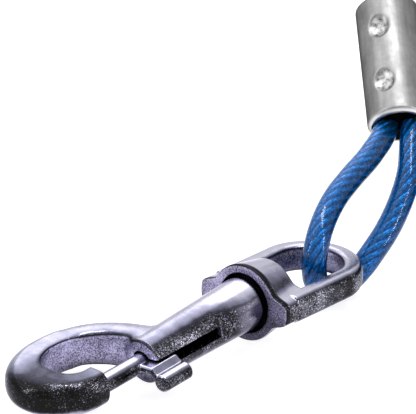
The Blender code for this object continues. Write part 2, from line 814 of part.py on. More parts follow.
# Near ferrule and loop
mouth = Vector(NEAR_MOUTH) * MM
axis = Vector(NEAR_FERRULE_AXIS).normalized()
side = Vector(NEAR_LEG_SIDE)
side = (side - axis * side.dot(axis)).normalized()
face = axis.cross(side)
near_ferrule_matrix = Matrix((axis, side, face)).transposed().to_4x4()
near_ferrule_matrix.translation = mouth
near_ferrule_frame = empty("near_ferrule_axis", LEAD, near_ferrule_matrix)
ferrule("near", near_ferrule_frame)
dead_leg = mouth - side * LEG_SPACING / 2
live_leg = mouth + side * LEG_SPACING / 2
inside = axis * LEG_DEPTH
near_route = [dead_leg + inside, dead_leg] + metres(NEAR_LOOP_ROUTE) + [live_leg, live_leg + inside]
near_points = smooth_path(near_route, LOOP_STEP)
loop("near", LEAD, near_points)

# Lead, coil and tie
coil = coil_points()
run_in = Vector((0, 2 * CABLE_R, 0))
coil_start = coil[0] + Vector((0, GAP, 0))
top = live_leg + axis * FERRULE_LENGTH
lead_route = [top - inside, top] + metres(LEAD_ROUTE) + [coil_start + run_in, coil_start]
lead_points = smooth_path(lead_route, LEAD_STEP)
place(tube("cable_lead", lead_points, CABLE_R, CORD_POINTS), LEAD, VINYL)
place(tube("cable_coil", coil, CABLE_R, WIRE_POINTS), LEAD, VINYL)
coil_tie(LEAD)

# Tail, far ferrule and far loop
tail_start = coil[-1] + Vector((GAP, 0, 0))
run_out = Vector((2 * CABLE_R, 0, 0))
live_y = tail_start.y
tail_route = [tail_start, tail_start + run_out]
tail_route += [Vector((x * MM, live_y, z * MM)) for x, z in TAIL_ROUTE]
far_top = Vector((FAR_TOP_X, live_y, FERRULE_R))
tail_route += [far_top, far_top + Vector((LEG_DEPTH, 0, 0))]
tail_points = smooth_path(tail_route, LEAD_STEP)
place(tube("cable_tail", tail_points, CABLE_R, CORD_POINTS), LEAD, VINYL)
far_y = live_y + LEG_SPACING / 2
far_mouth = Vector((FAR_TOP_X + FERRULE_LENGTH, far_y, FERRULE_R))
far_ferrule_matrix = Matrix.Translation(far_mouth) @ Matrix.Rotation(math.pi, 4, "Z")
ferrule("far", empty("far_ferrule_axis", LEAD, far_ferrule_matrix))
half = [(-LEG_DEPTH, LEG_SPACING / 2), (0, LEG_SPACING / 2)]
half += [(x * MM, y * MM) for x, y in FAR_LOOP_HALF]
ends = half + [(FAR_LOOP_REACH, 0)] + [(x, -y) for x, y in reversed(half)]
far_route = []
for x, y in ends:
    rise = FAR_LOOP_RISE * max(0, x / FAR_LOOP_REACH) ** 2
    far_route.append(far_mouth + Vector((x, y, rise)))
far_points = smooth_path(far_route, LOOP_STEP)
loop("far", LEAD, far_points)

# Far snap
far_tilt = Matrix.Rotation(-FAR_BARREL_PITCH, 4, "Y")
far_low = min((far_tilt @ point).z for ring in hook_rings() for point in ring)
bar_reach = CABLE_R + LIMB_HEIGHT / 2 + 2 * GAP
far_x = far_mouth.x + FAR_LOOP_REACH - bar_reach + BAR_X
far_matrix = Matrix.Translation((far_x, far_y, -far_low)) @ Matrix.Rotation(math.pi, 4, "Z") @ far_tilt
far_turn = Matrix.Rotation(FAR_BARREL_PITCH, 4, "Y") @ Matrix.Rotation(FAR_EYE_ROLL, 4, "X")
far_snap = snap("far", LEAD, far_matrix, far_turn)

# The origin under the near snap
low, high = world_bounds(near_snap)
LEAD.location = (-(low.x + high.x) / 2, -(low.y + high.y) / 2, -low.z)

runs = {
    "near loop": near_points,
    "lead": lead_points,
    "coil": coil,
    "tail": tail_points,
    "far loop": far_points,
}
for name, points in runs.items():
    print(f"{name}: {1000 * path_length(points):.0f} mm, {len(points)} points")
print(f"all cable: {1000 * sum(path_length(points) for points in runs.values()):.0f} mm")
print(f"coil: least gap to itself {1000 * least_gap(coil, CABLE_R, POINTS_A_TURN // 3):.2f} mm")
print("far eye's lowest point:", round(1000 * world_bounds(far_snap[3:])[0].z, 3), "mm")
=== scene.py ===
import json
import math

import bmesh
import bpy
from mathutils import Matrix, Vector


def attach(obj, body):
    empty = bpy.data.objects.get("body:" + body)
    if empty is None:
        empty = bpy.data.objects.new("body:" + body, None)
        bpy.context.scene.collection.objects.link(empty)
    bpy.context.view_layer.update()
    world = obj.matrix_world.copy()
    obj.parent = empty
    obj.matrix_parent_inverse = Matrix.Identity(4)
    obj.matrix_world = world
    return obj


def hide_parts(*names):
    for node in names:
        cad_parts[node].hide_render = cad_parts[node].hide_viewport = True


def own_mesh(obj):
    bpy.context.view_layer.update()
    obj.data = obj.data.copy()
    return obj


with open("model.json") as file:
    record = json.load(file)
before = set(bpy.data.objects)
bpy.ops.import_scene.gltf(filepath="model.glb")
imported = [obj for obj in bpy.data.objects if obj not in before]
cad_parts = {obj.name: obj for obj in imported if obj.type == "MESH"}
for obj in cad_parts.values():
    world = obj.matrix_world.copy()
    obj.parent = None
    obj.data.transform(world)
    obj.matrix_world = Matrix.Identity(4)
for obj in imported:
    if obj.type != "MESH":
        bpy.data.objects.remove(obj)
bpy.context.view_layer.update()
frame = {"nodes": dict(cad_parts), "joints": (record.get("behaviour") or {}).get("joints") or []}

scene = bpy.context.scene
scene.view_settings.view_transform = "Standard"
joints = {joint["name"]: joint for joint in frame["joints"]}

# The two snaps' own frames, from the joints: X runs along the barrel, with its origin at the barrel's rear

LIP = 0.0020


def axes(origin, along, side):
    """A frame with X along one way, and Y as near to another as it can be."""
    along = along.normalized()
    side = (side - along * side.dot(along)).normalized()
    made = Matrix((along, side, along.cross(side))).transposed().to_4x4()
    made.translation = origin
    return made


def snap_frames(prefix, side):
    """The frames of a snap's body and of its eye."""
    swivel = joints[prefix + "_swivel"]
    swing = joints[prefix + "_loop_swing"]
    body = axes(Vector(swivel["pos_m"]), Vector(swivel["axis"]), Vector(side))
    pivot = body @ Vector((-LIP / 2, 0, 0))
    bar = Vector(swing["pos_m"])
    eye = axes(pivot, bar - pivot, Vector(swing["axis"]))
    return body, eye @ Matrix.Translation((LIP / 2, 0, 0))


NEAR_BODY, NEAR_EYE = snap_frames("near", (0, 1, 0))
FAR_BODY, FAR_EYE = snap_frames("far", (0, -1, 0))
SHIFT = Vector((NEAR_BODY.translation.x, NEAR_BODY.translation.y, 0))

# Camera, from the photograph: sizes in pixels of its frame, and the scale in pixels per metre

WIDTH = 416
HEIGHT = 414
DISTANCE = 1.2
SCALE = 5400.0
SENSOR = 36.0
CLIP_START = 0.01
AZIMUTH = math.radians(-48)
ELEVATION = math.radians(24)
ROLL = math.radians(1.7)
ANCHOR_PIXEL = (244.5, 302.0)

look = Vector((
    -math.sin(AZIMUTH) * math.cos(ELEVATION),
    math.cos(AZIMUTH) * math.cos(ELEVATION),
    -math.sin(ELEVATION),
))
turn = look.to_track_quat("-Z", "Y").to_matrix().to_4x4() @ Matrix.Rotation(ROLL, 4, "Z")
camera = bpy.data.objects.new("camera", bpy.data.cameras.new("camera"))
scene.collection.objects.link(camera)
scene.camera = camera
camera.data.sensor_fit = "HORIZONTAL"
camera.data.sensor_width = SENSOR
camera.data.lens = SENSOR * SCALE * DISTANCE / WIDTH
camera.data.clip_start = CLIP_START
offset = Vector(((ANCHOR_PIXEL[0] - WIDTH / 2) / SCALE, (HEIGHT / 2 - ANCHOR_PIXEL[1]) / SCALE, 0))
camera.matrix_world = (
    Matrix.Translation(NEAR_BODY.translation)
    @ turn
    @ Matrix.Translation((-offset.x, -offset.y, DISTANCE))
)

# Cord routes, the same as the solids' own. Listed points are in millimetres

CABLE_R = 0.0024
GAP = 0.0003
FERRULE_R = 0.0061
FERRULE_LENGTH = 0.0268
LEG_SPACING = 0.0052
LEG_DEPTH = 0.0080
COIL_PLACE = Vector((0.1050, -0.0080, 0))
COIL_INNER_R = 0.0215
COIL_PITCH = 0.0053
COIL_LAYERS = 4
COIL_TURNS = 1.9375
COIL_CLIMB_TURNS = 0.5
COIL_POINTS_A_TURN = 64
TIE_THICKNESS = 0.0008
FAR_TOP_X = 0.1470
FAR_REACH = 0.0350
FAR_RISE = 0.0042
NEAR_MOUTH = Vector((0.0550, 0.01075, 0.0245))
NEAR_AXIS = Vector((0.537, 0.624, 0.568)).normalized()
NEAR_SIDE = Vector((0.727, -0.683, 0.064))
NEAR_SIDE = (NEAR_SIDE - NEAR_AXIS * NEAR_SIDE.dot(NEAR_AXIS)).normalized()
NEAR_LOOP = (
    (44.7, 8.7, 22.5), (36.3, 6.4, 20.8), (30.4, 4.7, 19.4), (25.6, 3.0, 17.4),
    (21.6, 1.2, 14.8), (19.5, 0.2, 11.1), (20.2, 0.4, 7.0), (22.8, 0.7, 4.2),
    (26.5, 1.0, 3.0), (30.0, 0.8, 3.2), (33.0, 0.4, 4.9), (35.2, -0.1, 7.1),
    (40.3, 0.2, 10.9), (45.3, 1.4, 15.0), (49.6, 3.3, 18.9), (53.6, 6.4, 22.2),
)
LEAD = (
    (74.9, 29.8, 43.0), (83.0, 37.0, 46.5), (94.0, 42.5, 47.0), (107.0, 43.0, 42.0),
    (120.0, 36.5, 32.0), (131.5, 25.0, 20.5), (138.2, 13.0, 11.5), (137.6, 8.0, 6.0),
)
TAIL = ((120.0, 18.0), (130.0, 13.0), (139.0, 8.0), (145.0, 6.2))
FAR_HALF = ((5.0, 3.2), (12.0, 5.6), (20.0, 7.2), (27.0, 7.0), (32.0, 5.0), (34.5, 2.2))
CURVE_STEPS = 24
STEP = 0.0008


def bezier(start, first, second, end, t):
    u = 1 - t
    return start * u**3 + first * 3 * t * u**2 + second * 3 * t**2 * u + end * t**3


def smooth_path(route, step):
    """Points about one step apart on the smooth curve through the route's points."""
    knots = [Vector(point) for point in route]
    before = [knots[0] * 2 - knots[1]] + knots[:-1]
    after = knots[1:] + [knots[-1] * 2 - knots[-2]]
    slopes = [(b - a) / 2 for a, b in zip(before, after)]
    fine = []
    for i in range(len(knots) - 1):
        for k in range(CURVE_STEPS):
            first = knots[i] + slopes[i] / 3
            second = knots[i + 1] - slopes[i + 1] / 3
            fine.append(bezier(knots[i], first, second, knots[i + 1], k / CURVE_STEPS))
    return even(fine + [knots[-1]], step)


def even(fine, step):
    """Points about one step apart on a line of finer points."""
    lengths = [0.0]
    for a, b in zip(fine, fine[1:]):
        lengths.append(lengths[-1] + (b - a).length)
    count = max(2, round(lengths[-1] / step))
    points = []
    at = 0
    for k in range(count + 1):
        want = lengths[-1] * k / count
        while at < len(fine) - 2 and lengths[at + 1] < want:
            at += 1
        span = lengths[at + 1] - lengths[at]
        points.append(fine[at].lerp(fine[at + 1], (want - lengths[at]) / span))
    return points


def coil_points():
    """The coil: flat layers that run inward and outward by turns, and climb where they reverse."""
    outer = COIL_INNER_R + COIL_PITCH * COIL_TURNS
    low = CABLE_R + TIE_THICKNESS + GAP
    points = []
    count = round(COIL_LAYERS * COIL_TURNS * COIL_POINTS_A_TURN)
    for i in range(count + 1):
        turns = i / COIL_POINTS_A_TURN
        layer = min(COIL_LAYERS - 1, int(turns / COIL_TURNS))
        into = turns - layer * COIL_TURNS
        inward = into if layer % 2 == 0 else COIL_TURNS - into
        radius = outer - COIL_PITCH * inward
        height = 0.0
        for reversal in range(1, COIL_LAYERS):
            t = min(1, max(0, (turns - reversal * COIL_TURNS) / COIL_CLIMB_TURNS + 1 / 2))
            height += COIL_PITCH * t * t * (3 - 2 * t)
        angle = -2 * math.pi * turns
        spot = Vector((radius * math.cos(angle), radius * math.sin(angle), low + height))
        points.append(COIL_PLACE + spot)
    return points


def metres(route):
    return [Vector(point) / 1000 for point in route]


dead = NEAR_MOUTH - NEAR_SIDE * LEG_SPACING / 2
live = NEAR_MOUTH + NEAR_SIDE * LEG_SPACING / 2
inside = NEAR_AXIS * LEG_DEPTH
near_route = [dead + inside, dead] + metres(NEAR_LOOP) + [live, live + inside]
coil = coil_points()
run_in = Vector((0, 2 * CABLE_R, 0))
top = live + NEAR_AXIS * FERRULE_LENGTH
lead_route = [top - inside, top] + metres(LEAD) + [coil[0] + run_in * 2, coil[0] + run_in]
run_out = Vector((2 * CABLE_R, 0, 0))
live_y = coil[-1].y
far_top = Vector((FAR_TOP_X, live_y, FERRULE_R))
tail_route = [coil[-1] + run_out, coil[-1] + run_out * 2]
tail_route += [Vector((x / 1000, live_y, z / 1000)) for x, z in TAIL]
tail_route += [far_top, far_top + Vector((LEG_DEPTH, 0, 0))]
far_mouth = Vector((FAR_TOP_X + FERRULE_LENGTH, live_y + LEG_SPACING / 2, FERRULE_R))
far_half = [(-LEG_DEPTH, LEG_SPACING / 2), (0, LEG_SPACING / 2)]
far_half += [(x / 1000, y / 1000) for x, y in FAR_HALF]
far_flat = far_half + [(FAR_REACH, 0)] + [(x, -y) for x, y in reversed(far_half)]
far_route = [far_mouth + Vector((x, y, FAR_RISE * max(0, x / FAR_REACH) ** 2)) for x, y in far_flat]


def shifted(points):
    return [point + SHIFT for point in points]


near_line = shifted(smooth_path(near_route, STEP))
lead_line = smooth_path(lead_route, STEP)
tail_line = smooth_path(tail_route, STEP)
main_line = shifted(even(lead_line + coil + tail_line, 2 * STEP))
far_line = shifted(smooth_path(far_route, STEP))

# Meshes

STEEP = 0.9
SHARP_ANGLE = 40


def frames_along(points):
    """A tangent, normal and binormal at each point, turning as little as they can."""
    tangents = []
    for i in range(len(points)):
        tangents.append((points[min(i + 1, len(points) - 1)] - points[max(i - 1, 0)]).normalized())
    up = Vector((0, 0, 1)) if abs(tangents[0].z) < STEEP else Vector((1, 0, 0))
    normal = (up - tangents[0] * up.dot(tangents[0])).normalized()
    found = []
    for tangent in tangents:
        normal = (normal - tangent * normal.dot(tangent)).normalized()
        found.append((tangent, normal, tangent.cross(normal)))
    return found


def sweep(skin, rings):
    """Adds a tube through rings of points to a bmesh, closed at both ends."""
    rows = [[skin.verts.new(point) for point in ring] for ring in rings]
    count = len(rows[0])
    for row, following in zip(rows, rows[1:]):
        for i in range(count):
            j = (i + 1) % count
            skin.faces.new((row[i], row[j], following[j], following[i]))
    skin.faces.new(list(reversed(rows[0])))
    skin.faces.new(rows[-1])


def finish_mesh(name, skin, matrix=None, sharp=SHARP_ANGLE):
    """A smooth-shaded object of a bmesh, with edges over the angle kept sharp."""
    bmesh.ops.recalc_face_normals(skin, faces=skin.faces)
    mesh = bpy.data.meshes.new(name)
    skin.to_mesh(mesh)
    skin.free()
    mesh.shade_smooth()
    mesh.set_sharp_from_angle(angle=math.radians(sharp))
    obj = bpy.data.objects.new(name, mesh)
    scene.collection.objects.link(obj)
    if matrix is not None:
        obj.matrix_world = matrix
    return obj


def round_tube(name, points, radius, sides):
    skin = bmesh.new()
    rings = []
    for point, (_, normal, side) in zip(points, frames_along(points)):
        ring = []
        for k in range(sides):
            angle = 2 * math.pi * k / sides
            ring.append(point + (normal * math.cos(angle) + side * math.sin(angle)) * radius)
        rings.append(ring)
    sweep(skin, rings)
    return finish_mesh(name, skin)


JACKET_SIDES = 24
STRANDS = 6
STRAND_LAY = 0.0165
STRAND_OFFSET = 0.00108
STRAND_R = 0.00062
STRAND_SIDES = 18
STRAND_SHARP_ANGLE = 80
WIRES = 6
WIRE_LAY = 0.0062
WIRE_RIPPLE = 0.10


def strand_bundle(name, points):
    """Strands twisted round a straight one. Each one's section has the lobes of its own twisted wires."""
    skin = bmesh.new()
    found = frames_along(points)
    lengths = [0.0]
    for a, b in zip(points, points[1:]):
        lengths.append(lengths[-1] + (b - a).length)
    for strand in range(STRANDS + 1):
        rings = []
        for point, length, (_, normal, side) in zip(points, lengths, found):
            twist = 2 * math.pi * (length / STRAND_LAY + strand / STRANDS)
            out = normal * math.cos(twist) + side * math.sin(twist)
            across = side * math.cos(twist) - normal * math.sin(twist)
            middle = point + out * (STRAND_OFFSET if strand < STRANDS else 0)
            spin = -2 * math.pi * length / WIRE_LAY
            ring = []
            for k in range(STRAND_SIDES):
                angle = 2 * math.pi * k / STRAND_SIDES
                radius = STRAND_R * (1 + WIRE_RIPPLE * math.cos(WIRES * (angle - spin)))
                ring.append(middle + (out * math.cos(angle) + across * math.sin(angle)) * radius)
            rings.append(ring)
        sweep(skin, rings)
    return finish_mesh(name, skin, sharp=STRAND_SHARP_ANGLE)


# Materials


def material(name):
    made = bpy.data.materials.new(name)
    made.use_nodes = True
    tree = made.node_tree
    return made, tree, tree.nodes["Principled BSDF"]


def feed(tree, socket, value):
    """Links a socket to another one, or gives it a constant."""
    if isinstance(value, bpy.types.NodeSocket):
        tree.links.new(value, socket)
    else:
        socket.default_value = value


def dress(tree, shader, values):
    for key, value in values.items():
        feed(tree, shader.inputs[key], value)


def node(tree, kind, inputs=(), **settings):
    made = tree.nodes.new("ShaderNode" + kind)
    for key, value in settings.items():
        setattr(made, key, value)
    for key, value in dict(inputs).items():
        feed(tree, made.inputs[key], value)
    return made


def math_node(tree, operation, *values):
    return node(tree, "Math", dict(enumerate(values)), operation=operation).outputs[0]


def vector_node(tree, operation, *values):
    """The result of a vector operation, which is one number for a length or a dot product."""
    made = node(tree, "VectorMath", dict(enumerate(values)), operation=operation)
    return made.outputs["Value" if operation in ("LENGTH", "DOT_PRODUCT") else "Vector"]


def split(tree, vector):
    return node(tree, "SeparateXYZ", {"Vector": vector}).outputs


def grey(value):
    return (value, value, value)


def opaque(colour):
    """A plain colour with its alpha. A socket stays as it is."""
    return colour if isinstance(colour, bpy.types.NodeSocket) else (*colour, 1.0)


def ramp(tree, factor, *stops):
    made = tree.nodes.new("ShaderNodeValToRGB")
    tree.links.new(factor, made.inputs["Fac"])
    while len(made.color_ramp.elements) < len(stops):
        made.color_ramp.elements.new(0.5)
    for element, (place, colour) in zip(made.color_ramp.elements, stops):
        element.position = place
        element.color = opaque(colour)
    return made.outputs["Color"]


def noise(tree, scale, detail, roughness, stretch=None):
    where = node(tree, "TexCoord").outputs["Object"]
    if stretch is not None:
        where = vector_node(tree, "MULTIPLY", where, stretch)
    inputs = {"Vector": where, "Scale": scale, "Detail": detail, "Roughness": roughness}
    return node(tree, "TexNoise", inputs).outputs["Fac"]


def bump(tree, shader, height, distance, strength):
    made = node(tree, "Bump", {"Height": height, "Distance": distance, "Strength": strength})
    tree.links.new(made.outputs["Normal"], shader.inputs["Normal"])


def soft_step(tree, value, low, high):
    inputs = {"Value": value, "From Min": low, "From Max": high}
    return node(tree, "MapRange", inputs, interpolation_type="SMOOTHSTEP").outputs["Result"]


MIX_FIRST = 6
MIX_SECOND = 7
MIX_RESULT = 2


def mixed(tree, factor, first, second):
    """A colour between two, each a colour or a socket."""
    inputs = {0: factor, MIX_FIRST: opaque(first), MIX_SECOND: opaque(second)}
    return node(tree, "Mix", inputs, data_type="RGBA").outputs[MIX_RESULT]


def swayed(tree, value, other, amount):
    """A value moved up and down by another one, which lies about a half."""
    centred = math_node(tree, "SUBTRACT", other, 0.5)
    return math_node(tree, "ADD", value, math_node(tree, "MULTIPLY", centred, amount))


def from_axis(tree, place):
    """The distance from the X axis."""
    across = node(tree, "CombineXYZ", {"Y": place["Y"], "Z": place["Z"]})
    return vector_node(tree, "LENGTH", across.outputs["Vector"])


# Plated castings. A noise has a scale, detail and roughness, a bump a distance and strength, and a ramp
# its stops. Other pairs are where a soft step starts and ends

# The plating's light and shade are painted into its colour, by how each face turns to this one way
PAINTED_LIGHT_WAY = (0.30, 0.40, 0.866)
GRAIN = (3600, 3.0, 0.7)
CLOUD = (420, 3.0, 0.6)
PATCH = (230, 2.0, 0.5)
GRAIN_BUMP = (0.00005, 0.30)
LIFT_SWAY = 0.22
# The calm lowers the painted light, giving painted shade; under 0 it raises it
CALM_LIFT = (-0.2, 0.4)
CALM_LOWERS = 0.34
# Painted light by facing: a painted reflection on faces turned down, painted shade on the sides, a painted
# highlight on top
PLATE_PAINTED_LIGHT = (
    (0.05, (0.50, 0.49, 0.58)), (0.10, (0.26, 0.25, 0.34)), (0.17, (0.018, 0.017, 0.024)),
    (0.62, (0.010, 0.010, 0.014)), (0.76, (0.040, 0.040, 0.058)), (0.89, (0.24, 0.24, 0.33)),
    (0.95, (0.46, 0.455, 0.56)), (1.0, (0.58, 0.57, 0.68)),
)
PLATE_TINT = (0.70, 0.70, 0.74)
PLATE_ROUGH = ((0.3, grey(0.13)), (0.7, grey(0.24)))
FLECK_SWAY = 0.45
# Painted dark shade for the sides, with bright grain flecks on it
SHADE_AND_FLECKS = ((0.47, grey(0.010)), (0.58, (0.12, 0.12, 0.15)), (0.72, (0.61, 0.60, 0.73)))
CALM_SPARSE = 0.10
# Painted light that lifts the dark sides where the calm is far under 0, as on the barrel's rear
SIDE_LIGHT_CALM = (-0.82, -1.4)
SIDE_LIGHT_SHARE = 0.52
SIDE_PAINTED_LIGHT = (0.26, 0.25, 0.34)
# Where the painted shade of the sides starts and stops, by facing
DARK_ABOVE = (-0.88, -0.68)
DARK_BELOW = (0.62, 0.20)
SKIN_SWAY = 0.30
CAST_SKIN = ((0.36, (0.04, 0.036, 0.068)), (0.64, (0.58, 0.55, 0.82)))
SKIN_ROUGH = 0.45
# Painted shade on the dull skin low down, and a painted dark shade line where it turns to the top
SKIN_LOW_Z = (-0.0032, 0.0002)
SKIN_LOW_PAINTED_SHADE = 0.30
RIM_TURN = (0.30, 0.60)
RIM_PAINTED_SHADE = (0.015, 0.014, 0.022)
# Painted near-black shade inside the bore and the recess
ROOM_EDGE = 0.0002
ROOM_PAINTED_SHADE = (0.006, 0.006, 0.008)


def plate_with_painted_light(tree, lift, calm, grain, patch):
    """A painted highlight where it faces the painted light's way, a painted reflection where it faces down,
    and painted dark shade with grain flecks on its sides.
    """
    shade = ramp(tree, math_node(tree, "MULTIPLY_ADD", lift, 0.5, 0.5), *PLATE_PAINTED_LIGHT)
    sparse = math_node(tree, "MULTIPLY", math_node(tree, "MAXIMUM", calm, 0.0), CALM_SPARSE)
    speck = math_node(tree, "SUBTRACT", swayed(tree, grain, patch, FLECK_SWAY), sparse)
    side_light = math_node(tree, "MULTIPLY", soft_step(tree, calm, *SIDE_LIGHT_CALM), SIDE_LIGHT_SHARE)
    fleck = mixed(tree, side_light, ramp(tree, speck, *SHADE_AND_FLECKS), SIDE_PAINTED_LIGHT)
    above = soft_step(tree, lift, *DARK_ABOVE)
    below = soft_step(tree, lift, *DARK_BELOW)
    return mixed(tree, math_node(tree, "MULTIPLY", above, below), shade, fleck)


def cast_skin(tree, place, normal, tone, grain, patch):
    """Dull and mottled, with painted shade low down, and a painted dark shade line where it turns to the
    top.
    """
    skin = ramp(tree, swayed(tree, grain, patch, SKIN_SWAY), *CAST_SKIN)
    high = soft_step(tree, place["Z"], *SKIN_LOW_Z)
    skin = vector_node(tree, "MULTIPLY", skin, mixed(tree, high, grey(SKIN_LOW_PAINTED_SHADE * tone), grey(tone)))
    rim = soft_step(tree, math_node(tree, "ABSOLUTE", normal["Z"]), *RIM_TURN)
    return mixed(tree, rim, skin, RIM_PAINTED_SHADE)


def painted_shade_room(tree, place, radius, start, stop):
    """1 inside a round room about the X axis, which is painted near-black shade."""
    inner = soft_step(tree, from_axis(tree, place), radius + ROOM_EDGE, radius)
    behind = soft_step(tree, place["X"], start, start + 2 * ROOM_EDGE)
    ahead = soft_step(tree, place["X"], stop, stop - 2 * ROOM_EDGE)
    return math_node(tree, "MULTIPLY", inner, math_node(tree, "MULTIPLY", behind, ahead))


def plated_zinc(name, cast_place, cast_tone, calm_place, room):
    """Plating over a casting, with painted light: a painted highlight on top, painted dark shade with grain
    on its sides, dull where no wheel reaches.

    The first place is 1 where the casting keeps its dull skin, of the tone given. The second is 1 where the
    painted light is darker, with less grain, and under 0 where it is painted brighter.
    The room is a radius about the axis, and the x where it starts and stops. It is painted a near-black
    shade.
    """
    made, tree, shader = material(name)
    where = node(tree, "TexCoord").outputs
    place = split(tree, where["Object"])
    normal = split(tree, where["Normal"])
    grain = noise(tree, *GRAIN)
    cloud = noise(tree, *CLOUD)
    patch = noise(tree, *PATCH)
    calm = calm_place(tree, where)
    # How each face turns to the painted light's way, swayed by a cloud of noise
    lift = vector_node(tree, "DOT_PRODUCT", where["Normal"], PAINTED_LIGHT_WAY)
    lift = swayed(tree, lift, cloud, LIFT_SWAY)
    lowered = math_node(tree, "MULTIPLY", calm, soft_step(tree, lift, *CALM_LIFT))
    lift = math_node(tree, "SUBTRACT", lift, math_node(tree, "MULTIPLY", lowered, CALM_LOWERS))
    dull = cast_place(tree, where)
    plate = plate_with_painted_light(tree, lift, calm, grain, patch)
    colour = mixed(tree, dull, plate, cast_skin(tree, place, normal, cast_tone, grain, patch))
    # Painted shade inside the room
    colour = mixed(tree, painted_shade_room(tree, place, *room), colour, ROOM_PAINTED_SHADE)
    dress(tree, shader, {
        "Metallic": 1.0,
        "Specular Tint": opaque(PLATE_TINT),
        "Base Color": colour,
        "Roughness": mixed(tree, dull, ramp(tree, cloud, *PLATE_ROUGH), grey(SKIN_ROUGH)),
    })
    bump(tree, shader, grain, *GRAIN_BUMP)
    return made


# Where the plated castings differ, in their own frames

HOLE_MIDDLE = (-0.0355, 0.0084, 0.0)
HOLE_REACH = (0.0098, 0.0066, 1.0)
FLATTENED = (1.0, 1.0, 0.0)
HOLE_EDGE = (1.10, 0.98)
WALL_TURN = (0.88, 0.72)
FRONT_X = (-0.0310, -0.0300)
FRONT_TURN = (-0.50, -0.80)
COLLAR_TURN = (-0.55, -0.85)
RING_MIDDLE = (0.0187, 0.0, 0.0)
RING_X = (0.0060, 0.0075)
RING_TURN = (-0.35, -0.60)
TIP_X = (-0.0320, -0.0480)
# Painted shade on the hook's tip, painted light on the barrel's rear, and a painted dark shade line along
# the collar's front edge
TIP_Y = (0.0150, 0.0090)
REAR_X = (-0.0140, -0.0030)
REAR_PAINTED_LIGHT = 1.4
LINE_X = (0.0012, 0.0006)
LINE_PAINTED_SHADE = 1.9
EYE_CALM = -0.7
BOLT_CALM = -0.8


def inside_hook(tree, where):
    """1 on the hook's inner wall and on the barrel's front, where the casting keeps its skin."""
    normal = split(tree, where["Normal"])
    away = vector_node(tree, "SUBTRACT", where["Object"], HOLE_MIDDLE)
    away = vector_node(tree, "DIVIDE", away, HOLE_REACH)
    away = vector_node(tree, "MULTIPLY", away, FLATTENED)
    hole = soft_step(tree, vector_node(tree, "LENGTH", away), *HOLE_EDGE)
    upright = soft_step(tree, math_node(tree, "ABSOLUTE", normal["Z"]), *WALL_TURN)
    wall = math_node(tree, "MULTIPLY", hole, upright)
    behind = soft_step(tree, split(tree, where["Object"])["X"], *FRONT_X)
    front = math_node(tree, "MULTIPLY", behind, soft_step(tree, normal["X"], *FRONT_TURN))
    return math_node(tree, "MAXIMUM", wall, front)


def collar_face(tree, where):
    """1 on the collar's front face, in its recess and on the ring's inner wall."""
    face = soft_step(tree, split(tree, where["Normal"])["X"], *COLLAR_TURN)
    away = vector_node(tree, "SUBTRACT", where["Object"], RING_MIDDLE)
    away = vector_node(tree, "NORMALIZE", away)
    outward = vector_node(tree, "DOT_PRODUCT", away, where["Normal"])
    behind = soft_step(tree, split(tree, where["Object"])["X"], *RING_X)
    wall = math_node(tree, "MULTIPLY", behind, soft_step(tree, outward, *RING_TURN))
    return math_node(tree, "MAXIMUM", face, wall)


def nowhere(tree, where):
    return 0.0


def hook_calm(tree, where):
    """1 on the hook's tip and its limb at the bolt, where the painted light is darker, and under 0 on the
    barrel's rear, which is painted brighter.
    """
    place = split(tree, where["Object"])
    tip = soft_step(tree, place["X"], *TIP_X)
    tip = math_node(tree, "MULTIPLY", tip, soft_step(tree, place["Y"], *TIP_Y))
    rear = math_node(tree, "MULTIPLY", soft_step(tree, place["X"], *REAR_X), REAR_PAINTED_LIGHT)
    return math_node(tree, "SUBTRACT", tip, rear)


def eye_calm(tree, where):
    """Painted brighter all over, but for a painted dark shade line along the collar's front edge."""
    line = soft_step(tree, split(tree, where["Object"])["X"], *LINE_X)
    return math_node(tree, "MULTIPLY_ADD", line, LINE_PAINTED_SHADE, EYE_CALM)


def bolt_calm(tree, where):
    """A turned and polished piece, painted brighter all over."""
    return BOLT_CALM


# The other finishes

VINYL_COLOUR = (0.015, 0.26, 0.60)
VINYL_DEPTH = (0.005, 0.34, 0.68)
VINYL_DENSITY = 600.0
VINYL_CLEAR = 0.94
VINYL_IOR = 1.30
VINYL_SHINE = 0.42
VINYL_ROUGH = ((0.3, grey(0.04)), (0.7, grey(0.10)))
VINYL_WAVES = (600, 2.0, 0.5)
VINYL_BUMP = (0.00003, 0.12)
WIRE_FLECK = (2400, 3.0, 0.6)
WIRE_COLOURS = ((0.38, (0.22, 0.29, 0.34)), (0.62, (0.80, 0.92, 0.94)))
WIRE_ROUGH = 0.32
WIRE_BUMP = (0.00005, 0.4)
SLEEVE_CLOUD = (240, 5.0, 0.65)
SLEEVE_FINE = (2200, 3.0, 0.6)
SLEEVE_STREAK = (1100, 4.0, 0.5)
STREAK_STRETCH = (0.12, 1.0, 1.0)
STREAK_SHARE = 0.3
CLOUD_SHARE = 0.7
SLEEVE_GREYS = ((0.34, grey(0.16)), (0.50, grey(0.215)), (0.64, grey(0.27)))
SLEEVE_ROUGH = ((0.3, grey(0.48)), (0.7, grey(0.34)))
SLEEVE_TINT = grey(0.10)
SLEEVE_BUMP = (0.00006, 0.4)
PIT_DEPTH = (0.00010, 0.00045)
PIT_R = tuple(FERRULE_R - depth for depth in PIT_DEPTH)
PIT_GRIME = (900, 3.0, 0.6)
PIT_GREYS = ((0.34, grey(0.06)), (0.46, grey(0.22)), (0.64, grey(0.46)))
# The mouth's end face: a painted dark shade inside, and a painted highlight on its rim
MOUTH_DEPTH = (0.0013, 0.0009)
MOUTH_R = tuple(FERRULE_R - depth for depth in MOUTH_DEPTH)
MOUTH_X = (0.0006, 0.0002)
MOUTH_PAINTED_SHADE = grey(0.012)
MOUTH_PAINTED_HIGHLIGHT = grey(0.60)
SPRING_FINE = (3000, 2.0, 0.5)
